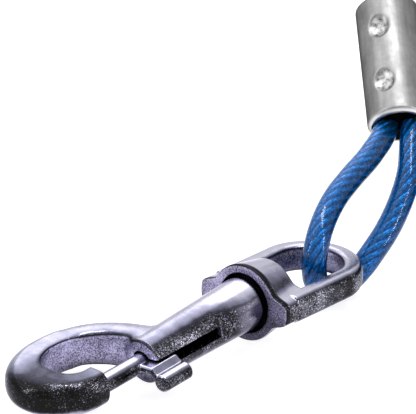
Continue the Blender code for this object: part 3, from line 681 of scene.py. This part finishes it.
# Dark steel, painted darker still for the shade inside the barrel
SPRING_PAINTED_SHADE_GREYS = ((0.3, grey(0.05)), (0.7, grey(0.11)))
SPRING_ROUGH = 0.3
TIE_FINE = (1500, 4.0, 0.6)
TIE_RIBS = {"Scale": 480.0, "Distortion": 0.6, "Detail": 2.0}
TIE_GREYS = ((0.3, grey(0.006)), (0.7, grey(0.030)))
TIE_ROUGH = 0.72
TIE_SHINE = 0.25
TIE_BUMP = (0.0002, 0.6)


def blue_vinyl():
    made, tree, shader = material("blue_vinyl_finish")
    depth = node(tree, "VolumeAbsorption", {"Color": opaque(VINYL_DEPTH), "Density": VINYL_DENSITY})
    tree.links.new(depth.outputs["Volume"], tree.nodes["Material Output"].inputs["Volume"])
    dress(tree, shader, {
        "Base Color": opaque(VINYL_COLOUR),
        "Transmission Weight": VINYL_CLEAR,
        "IOR": VINYL_IOR,
        "Specular IOR Level": VINYL_SHINE,
        "Roughness": ramp(tree, noise(tree, *CLOUD), *VINYL_ROUGH),
    })
    bump(tree, shader, noise(tree, *VINYL_WAVES), *VINYL_BUMP)
    return made


def wire_strand():
    made, tree, shader = material("wire_strand_finish")
    fleck = noise(tree, *WIRE_FLECK)
    dress(tree, shader, {
        "Metallic": 1.0,
        "Base Color": ramp(tree, fleck, *WIRE_COLOURS),
        "Roughness": WIRE_ROUGH,
    })
    bump(tree, shader, fleck, *WIRE_BUMP)
    return made


def crimped_aluminium():
    """Dull drawn metal, with grime in the dimples, and a painted dark shade in the mouth inside a painted
    highlight on its rim.
    """
    made, tree, shader = material("crimped_aluminium_finish")
    cloud = noise(tree, *SLEEVE_CLOUD)
    streak = noise(tree, *SLEEVE_STREAK, STREAK_STRETCH)
    streak = math_node(tree, "MULTIPLY", streak, STREAK_SHARE)
    worn = math_node(tree, "ADD", streak, math_node(tree, "MULTIPLY", cloud, CLOUD_SHARE))
    place = split(tree, node(tree, "TexCoord").outputs["Object"])
    reach = from_axis(tree, place)
    grime = ramp(tree, noise(tree, *PIT_GRIME), *PIT_GREYS)
    metal = mixed(tree, soft_step(tree, reach, *PIT_R), ramp(tree, worn, *SLEEVE_GREYS), grime)
    rim = mixed(tree, soft_step(tree, reach, *MOUTH_R), MOUTH_PAINTED_SHADE, MOUTH_PAINTED_HIGHLIGHT)
    dress(tree, shader, {
        "Metallic": 1.0,
        "Specular Tint": opaque(SLEEVE_TINT),
        "Base Color": mixed(tree, soft_step(tree, place["X"], *MOUTH_X), metal, rim),
        "Roughness": ramp(tree, cloud, *SLEEVE_ROUGH),
    })
    bump(tree, shader, noise(tree, *SLEEVE_FINE), *SLEEVE_BUMP)
    return made


def spring_steel():
    made, tree, shader = material("spring_steel_finish")
    dress(tree, shader, {
        "Metallic": 1.0,
        "Base Color": ramp(tree, noise(tree, *SPRING_FINE), *SPRING_PAINTED_SHADE_GREYS),
        "Roughness": SPRING_ROUGH,
    })
    return made


def black_tie():
    made, tree, shader = material("black_tie_finish")
    where = node(tree, "TexCoord").outputs["Object"]
    rib = node(tree, "TexWave", {"Vector": where, **TIE_RIBS}).outputs["Fac"]
    fine = math_node(tree, "MULTIPLY", noise(tree, *TIE_FINE), 0.5)
    weave = math_node(tree, "MULTIPLY_ADD", rib, 0.5, fine)
    dress(tree, shader, {
        "Base Color": ramp(tree, weave, *TIE_GREYS),
        "Roughness": TIE_ROUGH,
        "Specular IOR Level": TIE_SHINE,
    })
    bump(tree, shader, weave, *TIE_BUMP)
    return made


# Rooms of painted near-black shade: the barrel's bore, the collar's recess, and none on the bolt
BARREL_ROOM = (0.0036, -0.0270, 0.0)
COLLAR_ROOM = (0.0058, 0.0, 0.0042)
NO_ROOM = (0.0, 0.0, 0.001)
FULL_TONE = 1.0
EYE_TONE = 0.75
HOOK_ZINC = plated_zinc("plated_zinc_hook", inside_hook, FULL_TONE, hook_calm, BARREL_ROOM)
EYE_ZINC = plated_zinc("plated_zinc_eye", collar_face, EYE_TONE, eye_calm, COLLAR_ROOM)
BOLT_ZINC = plated_zinc("plated_zinc_bolt", nowhere, FULL_TONE, bolt_calm, NO_ROOM)
VINYL = blue_vinyl()
WIRE = wire_strand()
ALUMINIUM = crimped_aluminium()
STEEL = spring_steel()
STRAP = black_tie()

# Cords

cords = (
    ("near_loop", near_line, ("near_loop_jacket",), ("near_loop_core",)),
    ("main_cable", main_line, ("cable_lead", "cable_coil", "cable_tail"), ()),
    ("far_loop", far_line, ("far_loop_jacket",), ("far_loop_core",)),
)
for name, line, jacket_nodes, core_nodes in cords:
    jacket = round_tube(name, line, CABLE_R, JACKET_SIDES)
    jacket.data.materials.append(VINYL)
    bundle = strand_bundle(name + "_strands", line)
    bundle.data.materials.append(WIRE)
    for piece, nodes, slot in ((jacket, jacket_nodes, "blue_vinyl"), (bundle, core_nodes, "wire_strand")):
        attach(piece, "cable")
        if nodes:
            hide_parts(*nodes)

# Snap sizes, the same as the solids' own

BARREL_LENGTH = 0.0295
BARREL_FRONT_R = 0.0044
BARREL_REAR_R = 0.00515
BARREL_EDGE = 0.0005
CHAMBER_LENGTH = 0.0056
NOSE_DISTANCE = 0.0093
NOSE_LENGTH = 0.0016
NOSE_SEAT_DEPTH = 0.0012
HOOK_R = 0.0075
HOOK_FLAT = 0.0010
HOOK_BACK_LONG = 0.0095
HOOK_BACK_REACH = 0.0098
HOOK_ROOT_SLOPE = Vector((-0.0012, 0.0100, 0))
HOOK_ROOT_X = 0.0067
HOOK_NOSE_WIDTH = 0.0050
HOOK_TIP_WIDTH = 0.0072
HOOK_BACK_WIDTH = 0.0047
HOOK_ROOT_WIDTH = 0.0072
HOOK_HEIGHT = 0.0068
HOOK_ROOT_HEIGHT = 0.0086
HOOK_ROUND = 2.3
BOLT_R = 0.0018
BOLT_PLAY = 0.00035
BOLT_EDGE = 0.0004
BOLT_SEATED = 0.0006
BOLT_TRAVEL = 0.0110
LUG_LEAD = 0.0008
LUG_LENGTH = 0.0076
LUG_WEB = 0.0015
LUG_R = 0.0017
LUG_OUT = 0.0067
LUG_DROP = 0.0019
LUG_BEND = 0.0046
PAD_FROM = math.radians(-10)
PAD_TO = math.radians(300)
LUG_EDGE = 0.0004
LUG_ROLL = math.radians(-6)
SPRING_WIRE = 0.00045
SPRING_R = 0.00150
SPRING_CURLS = 7
SWIVEL_PLAY = 0.0009
STEM_R = 0.0020
STEM_HEAD_R = 0.0032
STEM_HEAD_LENGTH = 0.0014
COLLAR_X = -0.0003
COLLAR_R = 0.0075
COLLAR_LENGTH = 0.0078
COLLAR_TAPER = 0.86
COLLAR_BEVEL = 0.05
COLLAR_BLEND = 9
EAR_POWER = 4
EAR_REACH = 0.0103
EAR_HALF_HEIGHT = 0.0029
RECESS_DEPTH = 0.0034
RECESS_MARGIN = 0.0006
RING_LENGTH = 0.0293
LIMB_WIDTH = 0.0040
LIMB_HEIGHT = 0.0054
LIMB_POWER = 3.0
FERRULE_EDGE = 0.0006
DIMPLE_R = 0.0023
DIMPLE_DEPTH = 0.0010
DIMPLE_SPACING = 0.0122
DIMPLE_TURN = math.radians(-24)
BARREL_FRONT_X = -BARREL_LENGTH
NOSE_X = BARREL_FRONT_X - NOSE_DISTANCE
LUG_FRONT_X = BARREL_FRONT_X - LUG_LEAD
LUG_REAR_X = LUG_FRONT_X + LUG_LENGTH
SLOT_END_X = LUG_REAR_X + BOLT_TRAVEL + BOLT_PLAY
SPRING_FRONT_X = LUG_REAR_X + GAP
SPRING_REAR_X = -LIP - 2 * SWIVEL_PLAY - STEM_HEAD_LENGTH - GAP

# Form that only the shown pieces have, not the solids

HOOK_SQUARE = 9.0
HOOK_FULLER = 0.0008
HOOK_FULLER_RISE = 3
FRONT_CUT = 0.0016
DIMPLE_SOFTENED = 0.0004
STAKE_GAP = 0.0004
STAKE_X = SLOT_END_X + STAKE_GAP
STAKE_R = (0.0012, 0.0020)
STAKE_WIRE = 0.00030
STAKE_SPREAD = 75
BLEND_FROM_X = BARREL_FRONT_X - 2 * LIP
BLEND_TO_X = BARREL_FRONT_X + BARREL_LENGTH / 3
BLEND_STAGES = 10
BLEND_PASSES = 12
BLEND_FACTOR = 0.5
BLEND_EDGE = 0.0020

# Fineness of the pieces. Each casting has its voxel size and how often it is smoothed

TURN_STEPS = 96
TURN_OFFSET = 0.37
SECTION_POINTS = 48
COLLAR_POINTS = 160
ARC_STATIONS = 28
ROOT_STATIONS = 36
ROOT_SLOPE_STEP = 0.0003
RING_STATIONS = 56
PAD_STEPS = 40
STAKE_STEPS = 24
CURL_STEPS = 40
ROD_SIDES = 10
BALL_FINENESS = 4
PAST = 4 * GAP
BODY_VOXELS = (0.00017, 4)
BOLT_VOXELS = (0.00014, 3)
COLLAR_VOXELS = (0.00016, 0)
EYE_VOXELS = (0.00016, 4)
SLEEVE_VOXELS = (0.00018, 3)


def turned(name, profile, place=(0, 0, 0)):
    """A shape turned about X, from (x, radius) pairs."""
    skin = bmesh.new()
    rings = []
    for x, radius in profile:
        ring = []
        for k in range(TURN_STEPS):
            angle = 2 * math.pi * (k + TURN_OFFSET) / TURN_STEPS
            ring.append(Vector(place) + Vector((x, radius * math.cos(angle), radius * math.sin(angle))))
        rings.append(ring)
    sweep(skin, rings)
    return finish_mesh(name, skin)


def lofted(name, rings):
    skin = bmesh.new()
    sweep(skin, rings)
    return finish_mesh(name, skin)


def ball(name, place, radius):
    skin = bmesh.new()
    middle = Matrix.Translation(place)
    bmesh.ops.create_icosphere(skin, subdivisions=BALL_FINENESS, radius=radius, matrix=middle)
    return finish_mesh(name, skin)


def casting(name, base, joined, cut, voxel, passes):
    """One mesh of shapes joined and cut, remeshed so that the edges where they meet are softly rounded."""
    for others, operation in ((joined, "UNION"), (cut, "DIFFERENCE")):
        for other in others:
            step = base.modifiers.new(other.name, "BOOLEAN")
            step.operation = operation
            step.solver = "EXACT"
            step.object = other
    even_out = base.modifiers.new("even", "REMESH")
    even_out.mode = "VOXEL"
    even_out.voxel_size = voxel
    soften = base.modifiers.new("soften", "SMOOTH")
    soften.iterations = passes
    graph = bpy.context.evaluated_depsgraph_get()
    mesh = bpy.data.meshes.new_from_object(base.evaluated_get(graph))
    mesh.name = name
    mesh.shade_smooth()
    for used in (base, *joined, *cut):
        bpy.data.objects.remove(used)
    return mesh


def rounded(angle, half_width, half_height, power):
    """A point on a rounded box, from an oval at power 2 to nearly square at a high one."""
    c = math.cos(angle)
    s = math.sin(angle)
    return (
        half_width * math.copysign(abs(c) ** (2 / power), c),
        half_height * math.copysign(abs(s) ** (2 / power), s),
    )


def ring_angles(count):
    return [2 * math.pi * (i + 0.5) / count for i in range(count)]


def hook_path():
    """(point, direction, width, height) along the hook, from its nose round to its root in the barrel."""
    lower = Vector((NOSE_X - NOSE_LENGTH, HOOK_R, 0))
    upper = lower + Vector((HOOK_BACK_LONG - HOOK_R, HOOK_FLAT, 0))
    stations = [(Vector((NOSE_X, 0, 0)), Vector((-1, 0, 0)), HOOK_NOSE_WIDTH, HOOK_HEIGHT)]
    for i in range(ARC_STATIONS + 1):
        angle = -math.pi / 2 * (1 + i / ARC_STATIONS)
        out = Vector((math.cos(angle), math.sin(angle), 0))
        along = Vector((math.sin(angle), -math.cos(angle), 0))
        width = HOOK_NOSE_WIDTH + (HOOK_TIP_WIDTH - HOOK_NOSE_WIDTH) * i / ARC_STATIONS
        stations.append((lower + out * HOOK_R, along, width, HOOK_HEIGHT))
    for i in range(ARC_STATIONS + 1):
        angle = math.pi * (1 - i / ARC_STATIONS / 2)
        out = Vector((HOOK_BACK_LONG * math.cos(angle), HOOK_R * math.sin(angle), 0))
        along = Vector((HOOK_BACK_LONG * math.sin(angle), -HOOK_R * math.cos(angle), 0))
        width = HOOK_TIP_WIDTH + (HOOK_BACK_WIDTH - HOOK_TIP_WIDTH) * i / ARC_STATIONS
        stations.append((upper + out, along.normalized(), width, HOOK_HEIGHT))
    start = upper + Vector((0, HOOK_R, 0))
    first = start + Vector((HOOK_BACK_REACH, 0, 0))
    end = Vector((BARREL_FRONT_X + HOOK_ROOT_X, 0, 0))
    second = end + HOOK_ROOT_SLOPE
    for i in range(1, ROOT_STATIONS + 1):
        t = i / ROOT_STATIONS
        ahead = bezier(start, first, second, end, min(1, t + ROOT_SLOPE_STEP))
        behind = bezier(start, first, second, end, t - ROOT_SLOPE_STEP)
        width = HOOK_BACK_WIDTH + (HOOK_ROOT_WIDTH - HOOK_BACK_WIDTH) * t**2
        height = HOOK_HEIGHT + (HOOK_ROOT_HEIGHT - HOOK_HEIGHT) * t**2
        point = bezier(start, first, second, end, t)
        stations.append((point, (ahead - behind).normalized(), width, height))
    return stations


def hook_rings():
    """Sections of the hook. Its inner side is a little fuller between its two ends."""
    path = hook_path()
    rings = []
    for i, (point, along, width, height) in enumerate(path):
        inward = Vector((along.y, -along.x, 0))
        share = math.sin(math.pi * i / (len(path) - 1)) ** 2
        fuller = HOOK_FULLER * min(1, HOOK_FULLER_RISE * share)
        ring = []
        for angle in ring_angles(SECTION_POINTS):
            inner = math.cos(angle) > 0
            power = HOOK_SQUARE if inner else HOOK_ROUND
            across, up = rounded(angle, width / 2 + (fuller if inner else 0), height / 2, power)
            ring.append(point + inward * across + Vector((0, 0, up)))
        rings.append(ring)
    return rings


def slot_cut():
    """The box that cuts the lug's slot, from the barrel's front to where the lug stops."""
    half = LUG_WEB / 2 + BOLT_PLAY
    skin = bmesh.new()
    bmesh.ops.create_cube(skin, size=1.0)
    length = SLOT_END_X - BARREL_FRONT_X + PAST
    depth = 2 * BARREL_REAR_R - BOLT_R / 2
    bmesh.ops.scale(skin, vec=(length, depth, 2 * half), verts=skin.verts)
    middle = (SLOT_END_X - length / 2, -BOLT_R / 2 - depth / 2, 0)
    bmesh.ops.translate(skin, vec=middle, verts=skin.verts)
    bmesh.ops.rotate(skin, matrix=Matrix.Rotation(LUG_ROLL, 3, "X"), verts=skin.verts)
    return finish_mesh("slot_cut", skin)


def stake_marks():
    """The two curved ridges that a punch leaves behind the slot's end."""
    marks = []
    for size in STAKE_R:
        points = []
        for i in range(STAKE_STEPS + 1):
            angle = math.radians(-STAKE_SPREAD + 2 * STAKE_SPREAD * i / STAKE_STEPS)
            x = STAKE_X + size * math.cos(angle)
            z = size * math.sin(angle)
            radius = BARREL_REAR_R + (BARREL_REAR_R - BARREL_FRONT_R) * x / BARREL_LENGTH
            round_by = LUG_ROLL + z / radius
            points.append(Vector((x, -radius * math.cos(round_by), -radius * math.sin(round_by))))
        marks.append(round_tube("stake_mark", points, STAKE_WIRE, ROD_SIDES))
    return marks


def blend_root(mesh):
    """Fillets the corner where the shank runs into the barrel, less towards the blend's borders."""
    skin = bmesh.new()
    skin.from_mesh(mesh)
    for stage in range(BLEND_STAGES):
        inset = BLEND_EDGE * stage / BLEND_STAGES
        low = BLEND_FROM_X + inset
        high = BLEND_TO_X - inset
        root = [v for v in skin.verts if low < v.co.x < high and v.co.y > BOLT_R + inset / 2]
        for _ in range(BLEND_PASSES):
            bmesh.ops.smooth_vert(
                skin, verts=root, factor=BLEND_FACTOR, use_axis_x=True, use_axis_y=True, use_axis_z=True
            )
    skin.to_mesh(mesh)
    skin.free()


def snap_body_mesh():
    """The hook, its shank and the slotted barrel, in one casting."""
    barrel = turned("barrel", [
        (0, BARREL_REAR_R - BARREL_EDGE),
        (-BARREL_EDGE, BARREL_REAR_R),
        (BARREL_FRONT_X + FRONT_CUT + BARREL_EDGE, BARREL_FRONT_R),
        (BARREL_FRONT_X + FRONT_CUT, BARREL_FRONT_R - BARREL_EDGE),
    ])
    hook = lofted("hook", hook_rings())
    chamber_r = STEM_HEAD_R + SWIVEL_PLAY
    bore = turned("bore_cut", [
        (PAST, STEM_R + SWIVEL_PLAY),
        (-LIP, STEM_R + SWIVEL_PLAY),
        (-LIP - GAP, chamber_r),
        (-LIP - CHAMBER_LENGTH, chamber_r),
        (-LIP - CHAMBER_LENGTH - GAP, BOLT_R + BOLT_PLAY),
        (BARREL_FRONT_X - PAST, BOLT_R + BOLT_PLAY),
    ])
    seat = turned("nose_cut", [
        (NOSE_X + PAST, BOLT_R + BOLT_PLAY),
        (NOSE_X - NOSE_SEAT_DEPTH, BOLT_R + BOLT_PLAY),
    ])
    cuts = [bore, slot_cut(), seat]
    mesh = casting("snap_casting", barrel, [hook, *stake_marks()], cuts, *BODY_VOXELS)
    blend_root(mesh)
    return mesh


def lug_ring(x, shrink):
    """The web and the round thumb pad that hangs from it, as one outline across the bolt's axis."""
    web = LUG_WEB / 2 - shrink
    pad = LUG_R - shrink
    outline = [(-BOLT_R / 2, -web), (-LUG_BEND, -web)]
    for i in range(PAD_STEPS + 1):
        angle = PAD_FROM + (PAD_TO - PAD_FROM) * i / PAD_STEPS
        outline.append((-LUG_OUT + pad * math.cos(angle), -LUG_DROP - pad * math.sin(angle)))
    outline += [(-LUG_BEND, web), (-BOLT_R / 2, web)]
    level = Matrix.Rotation(LUG_ROLL, 3, "X")
    return [level @ Vector((x, y, z)) for y, z in outline]


def bolt_mesh():
    """The round gate rod, with the lug near its rear."""
    tip = NOSE_X - BOLT_SEATED
    rod = turned("rod", [
        (LUG_REAR_X, BOLT_R - BOLT_EDGE),
        (LUG_REAR_X - BOLT_EDGE, BOLT_R),
        (tip + BOLT_EDGE, BOLT_R),
        (tip, BOLT_R - BOLT_EDGE),
    ])
    ends = (
        (LUG_FRONT_X, LUG_EDGE),
        (LUG_FRONT_X + LUG_EDGE, 0),
        (LUG_REAR_X - 2 * LUG_EDGE, 0),
        (LUG_REAR_X - LUG_EDGE, LUG_EDGE),
    )
    lug = lofted("lug", [lug_ring(x, shrink) for x, shrink in ends])
    return casting("bolt_casting", rod, [lug], [], *BOLT_VOXELS)


def spring_mesh():
    first = SPRING_FRONT_X + SPRING_WIRE / 2
    last = SPRING_REAR_X - SPRING_WIRE / 2
    points = []
    count = SPRING_CURLS * CURL_STEPS
    for i in range(count + 1):
        angle = 2 * math.pi * i / CURL_STEPS
        x = first + (last - first) * i / count
        points.append(Vector((x, SPRING_R * math.cos(angle), SPRING_R * math.sin(angle))))
    coil_of_wire = round_tube("spring", points, SPRING_WIRE / 2, ROD_SIDES)
    mesh = coil_of_wire.data
    bpy.data.objects.remove(coil_of_wire)
    return mesh


def collar_ring(x, share):
    """The collar's outline: a round boss with an ear on each side."""
    ring = []
    for angle in ring_angles(COLLAR_POINTS):
        side = abs(math.cos(angle)) / EAR_REACH
        high = abs(math.sin(angle)) / EAR_HALF_HEIGHT
        ear = (side**EAR_POWER + high**EAR_POWER) ** (-1 / EAR_POWER)
        boss = COLLAR_R * share
        reach = min(EAR_REACH, (boss**COLLAR_BLEND + ear**COLLAR_BLEND) ** (1 / COLLAR_BLEND))
        ring.append(Vector((x, reach * math.cos(angle), reach * math.sin(angle))))
    return ring


def eye_ring():
    """Sections of the oval ring, from one ear round the far end to the other ear."""
    start = COLLAR_X + COLLAR_LENGTH / 2
    bend = EAR_REACH - LIMB_WIDTH / 2
    centre = COLLAR_X + RING_LENGTH - LIMB_WIDTH / 2 - bend
    stations = [(Vector((start, bend, 0)), Vector((0, 1, 0)))]
    for i in range(RING_STATIONS + 1):
        angle = math.pi / 2 - math.pi * i / RING_STATIONS
        out = Vector((math.cos(angle), math.sin(angle), 0))
        stations.append((Vector((centre, 0, 0)) + out * bend, out))
    stations.append((Vector((start, -bend, 0)), Vector((0, -1, 0))))
    rings = []
    for point, out in stations:
        ring = []
        for angle in ring_angles(SECTION_POINTS):
            across, up = rounded(angle, LIMB_WIDTH / 2, LIMB_HEIGHT / 2, LIMB_POWER)
            ring.append(point + out * across + Vector((0, 0, up)))
        rings.append(ring)
    return rings


def eye_mesh():
    """The collar with its recess, the ring and the headed stem, in one casting."""
    back = COLLAR_X + COLLAR_LENGTH
    edge = COLLAR_BEVEL * COLLAR_R
    sections = (
        (COLLAR_X, 1 - COLLAR_BEVEL),
        (COLLAR_X + edge, 1),
        (COLLAR_X + COLLAR_LENGTH / 2, (1 + COLLAR_TAPER) / 2),
        (back - edge, COLLAR_TAPER),
        (back, COLLAR_TAPER - COLLAR_BEVEL),
    )
    collar = lofted("collar", [collar_ring(x, share) for x, share in sections])
    recess_r = BARREL_REAR_R + RECESS_MARGIN
    recess = turned("recess_cut", [(COLLAR_X + RECESS_DEPTH, recess_r), (-RECESS_DEPTH, recess_r)])
    neck = -LIP - SWIVEL_PLAY
    stem = turned("stem", [
        (COLLAR_X + COLLAR_LENGTH / 2, STEM_R),
        (neck, STEM_R),
        (neck - GAP, STEM_HEAD_R),
        (neck - STEM_HEAD_LENGTH, STEM_HEAD_R),
    ])
    hollowed = casting("collar_casting", collar, [], [recess], *COLLAR_VOXELS)
    base = bpy.data.objects.new("collar", hollowed)
    scene.collection.objects.link(base)
    return casting("eye_casting", base, [lofted("ring", eye_ring()), stem], [], *EYE_VOXELS)


def ferrule_mesh():
    """The sleeve with its two bores and four dimples."""
    sleeve = turned("sleeve", [
        (FERRULE_LENGTH, FERRULE_R - FERRULE_EDGE),
        (FERRULE_LENGTH - FERRULE_EDGE, FERRULE_R),
        (FERRULE_EDGE, FERRULE_R),
        (0, FERRULE_R - FERRULE_EDGE),
    ])
    cuts = []
    for side, depth in ((1, FERRULE_LENGTH + PAST), (-1, LEG_DEPTH + PAST)):
        bore_r = CABLE_R + GAP
        place = (0, side * LEG_SPACING / 2, 0)
        cuts.append(turned("leg_cut", [(depth, bore_r), (-PAST, bore_r)], place))
    dimple_r = DIMPLE_R + DIMPLE_SOFTENED
    ball_r = (dimple_r**2 + DIMPLE_DEPTH**2) / (2 * DIMPLE_DEPTH)
    for side in (1, -1):
        for end in (1, -1):
            along = (FERRULE_LENGTH + end * DIMPLE_SPACING) / 2
            out = side * (FERRULE_R + ball_r - DIMPLE_DEPTH)
            place = (along, -out * math.sin(DIMPLE_TURN), out * math.cos(DIMPLE_TURN))
            cuts.append(ball("dimple_cut", place, ball_r))
    return casting("ferrule_sleeve", sleeve, [], cuts, *SLEEVE_VOXELS)


def placed(name, mesh, matrix, body, node_name, finish):
    """A piece that rides on a body in place of a CAD node."""
    obj = bpy.data.objects.new(name, mesh)
    scene.collection.objects.link(obj)
    obj.matrix_world = matrix
    mesh.materials.clear()
    mesh.materials.append(finish)
    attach(obj, body)
    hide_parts(node_name)
    return obj


# Fittings of the two ends

near_face = NEAR_AXIS.cross(NEAR_SIDE)
NEAR_FERRULE = Matrix((NEAR_AXIS, NEAR_SIDE, near_face)).transposed().to_4x4()
NEAR_FERRULE.translation = NEAR_MOUTH + SHIFT
FAR_FERRULE = Matrix.Translation(far_mouth + SHIFT) @ Matrix.Rotation(math.pi, 4, "Z")
body_mesh = snap_body_mesh()
pin_mesh = bolt_mesh()
wire_mesh = spring_mesh()
ring_mesh = eye_mesh()
sleeve_mesh = ferrule_mesh()
ends = (("near", NEAR_BODY, NEAR_EYE, NEAR_FERRULE), ("far", FAR_BODY, FAR_EYE, FAR_FERRULE))
fittings = {"near": [], "far": []}
for end, body, eye, sleeve in ends:
    spring = placed(
        end + "_spring_wire", wire_mesh, body, end + "_snap", end + "_bolt_spring", STEEL
    )
    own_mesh(spring)
    shown = (
        ("_snap_casting", body_mesh, body, end + "_snap", "_snap_body", "plated_zinc", HOOK_ZINC),
        ("_bolt_casting", pin_mesh, body, end + "_bolt_body", "_bolt", "plated_zinc", BOLT_ZINC),
        ("_eye_casting", ring_mesh, eye, end + "_eye", "_swivel_eye", "plated_zinc", EYE_ZINC),
        ("_sleeve", sleeve_mesh, sleeve, "cable", "_ferrule", "crimped_aluminium", ALUMINIUM),
    )
    fittings[end].append(spring)
    for name, mesh, matrix, rides_on, cad_node, slot, finish in shown:
        fittings[end].append(placed(end + name, mesh, matrix, rides_on, end + cad_node, finish))

# The coil's tie is the CAD node itself. The cords' own lines follow

tie = frame["nodes"]["coil_tie"]
tie.data.materials.clear()
tie.data.materials.append(STRAP)

# Floor and light. Lamps have a place, a target, two sides and a power

FLOOR_HALF = 15.0
FLOOR_Z = -0.00005
FLOOR_GREY = 0.45
FLOOR_ROUGH = 0.9
FLOOR_GLOW = 0.78
ROOM_LIT = 0.45
ROOM_SEEN = 1.0
WHITE = (1.0, 1.0, 1.0)
LAMPS = (
    ("key", (0.0, 0.45, 0.90), (0.02, 0.0, 0.01), (1.6, 1.3), 9.0),
    ("top_strip", (0.10, 0.0, 0.90), (0.05, 0.0, 0.02), (0.80, 0.10), 4.5),
    ("left_strip", (-0.74, 0.41, 0.42), (0.03, 0.0, 0.02), (0.03, 0.60), 3.0),
    ("right_strip", (0.33, -0.78, 0.42), (0.03, 0.0, 0.02), (0.03, 0.60), 2.0),
)


def seen_rays(tree):
    """1 for rays that show a thing, also in a mirror or through the vinyl, and 0 for those that light it."""
    rays = node(tree, "LightPath").outputs
    seen = math_node(tree, "MAXIMUM", rays["Is Camera Ray"], rays["Is Glossy Ray"])
    return math_node(tree, "MAXIMUM", seen, rays["Is Transmission Ray"])


def white_floor():
    made, tree, shader = material("floor_finish")
    dress(tree, shader, {
        "Base Color": opaque(grey(FLOOR_GREY)),
        "Roughness": FLOOR_ROUGH,
        "Emission Color": opaque(WHITE),
        "Emission Strength": math_node(tree, "MULTIPLY", seen_rays(tree), FLOOR_GLOW),
    })
    skin = bmesh.new()
    bmesh.ops.create_grid(skin, x_segments=1, y_segments=1, size=FLOOR_HALF)
    floor = finish_mesh("floor", skin, Matrix.Translation((0, 0, FLOOR_Z)))
    floor.data.materials.append(made)


def white_room():
    world = bpy.data.worlds.new("studio")
    scene.world = world
    world.use_nodes = True
    tree = world.node_tree
    levels = {"Value": seen_rays(tree), "To Min": ROOM_LIT, "To Max": ROOM_SEEN}
    strength = node(tree, "MapRange", levels).outputs["Result"]
    dress(tree, tree.nodes["Background"], {"Color": opaque(WHITE), "Strength": strength})


def area_lamp(name, place, target, sides, power):
    data = bpy.data.lights.new(name, "AREA")
    data.shape = "RECTANGLE"
    data.size = sides[0]
    data.size_y = sides[1]
    data.energy = power
    lamp = bpy.data.objects.new(name, data)
    scene.collection.objects.link(lamp)
    lamp.location = place
    lamp.rotation_euler = (Vector(target) - Vector(place)).to_track_quat("-Z", "Y").to_euler()


white_floor()
white_room()
for lamp in LAMPS:
    area_lamp(*lamp)
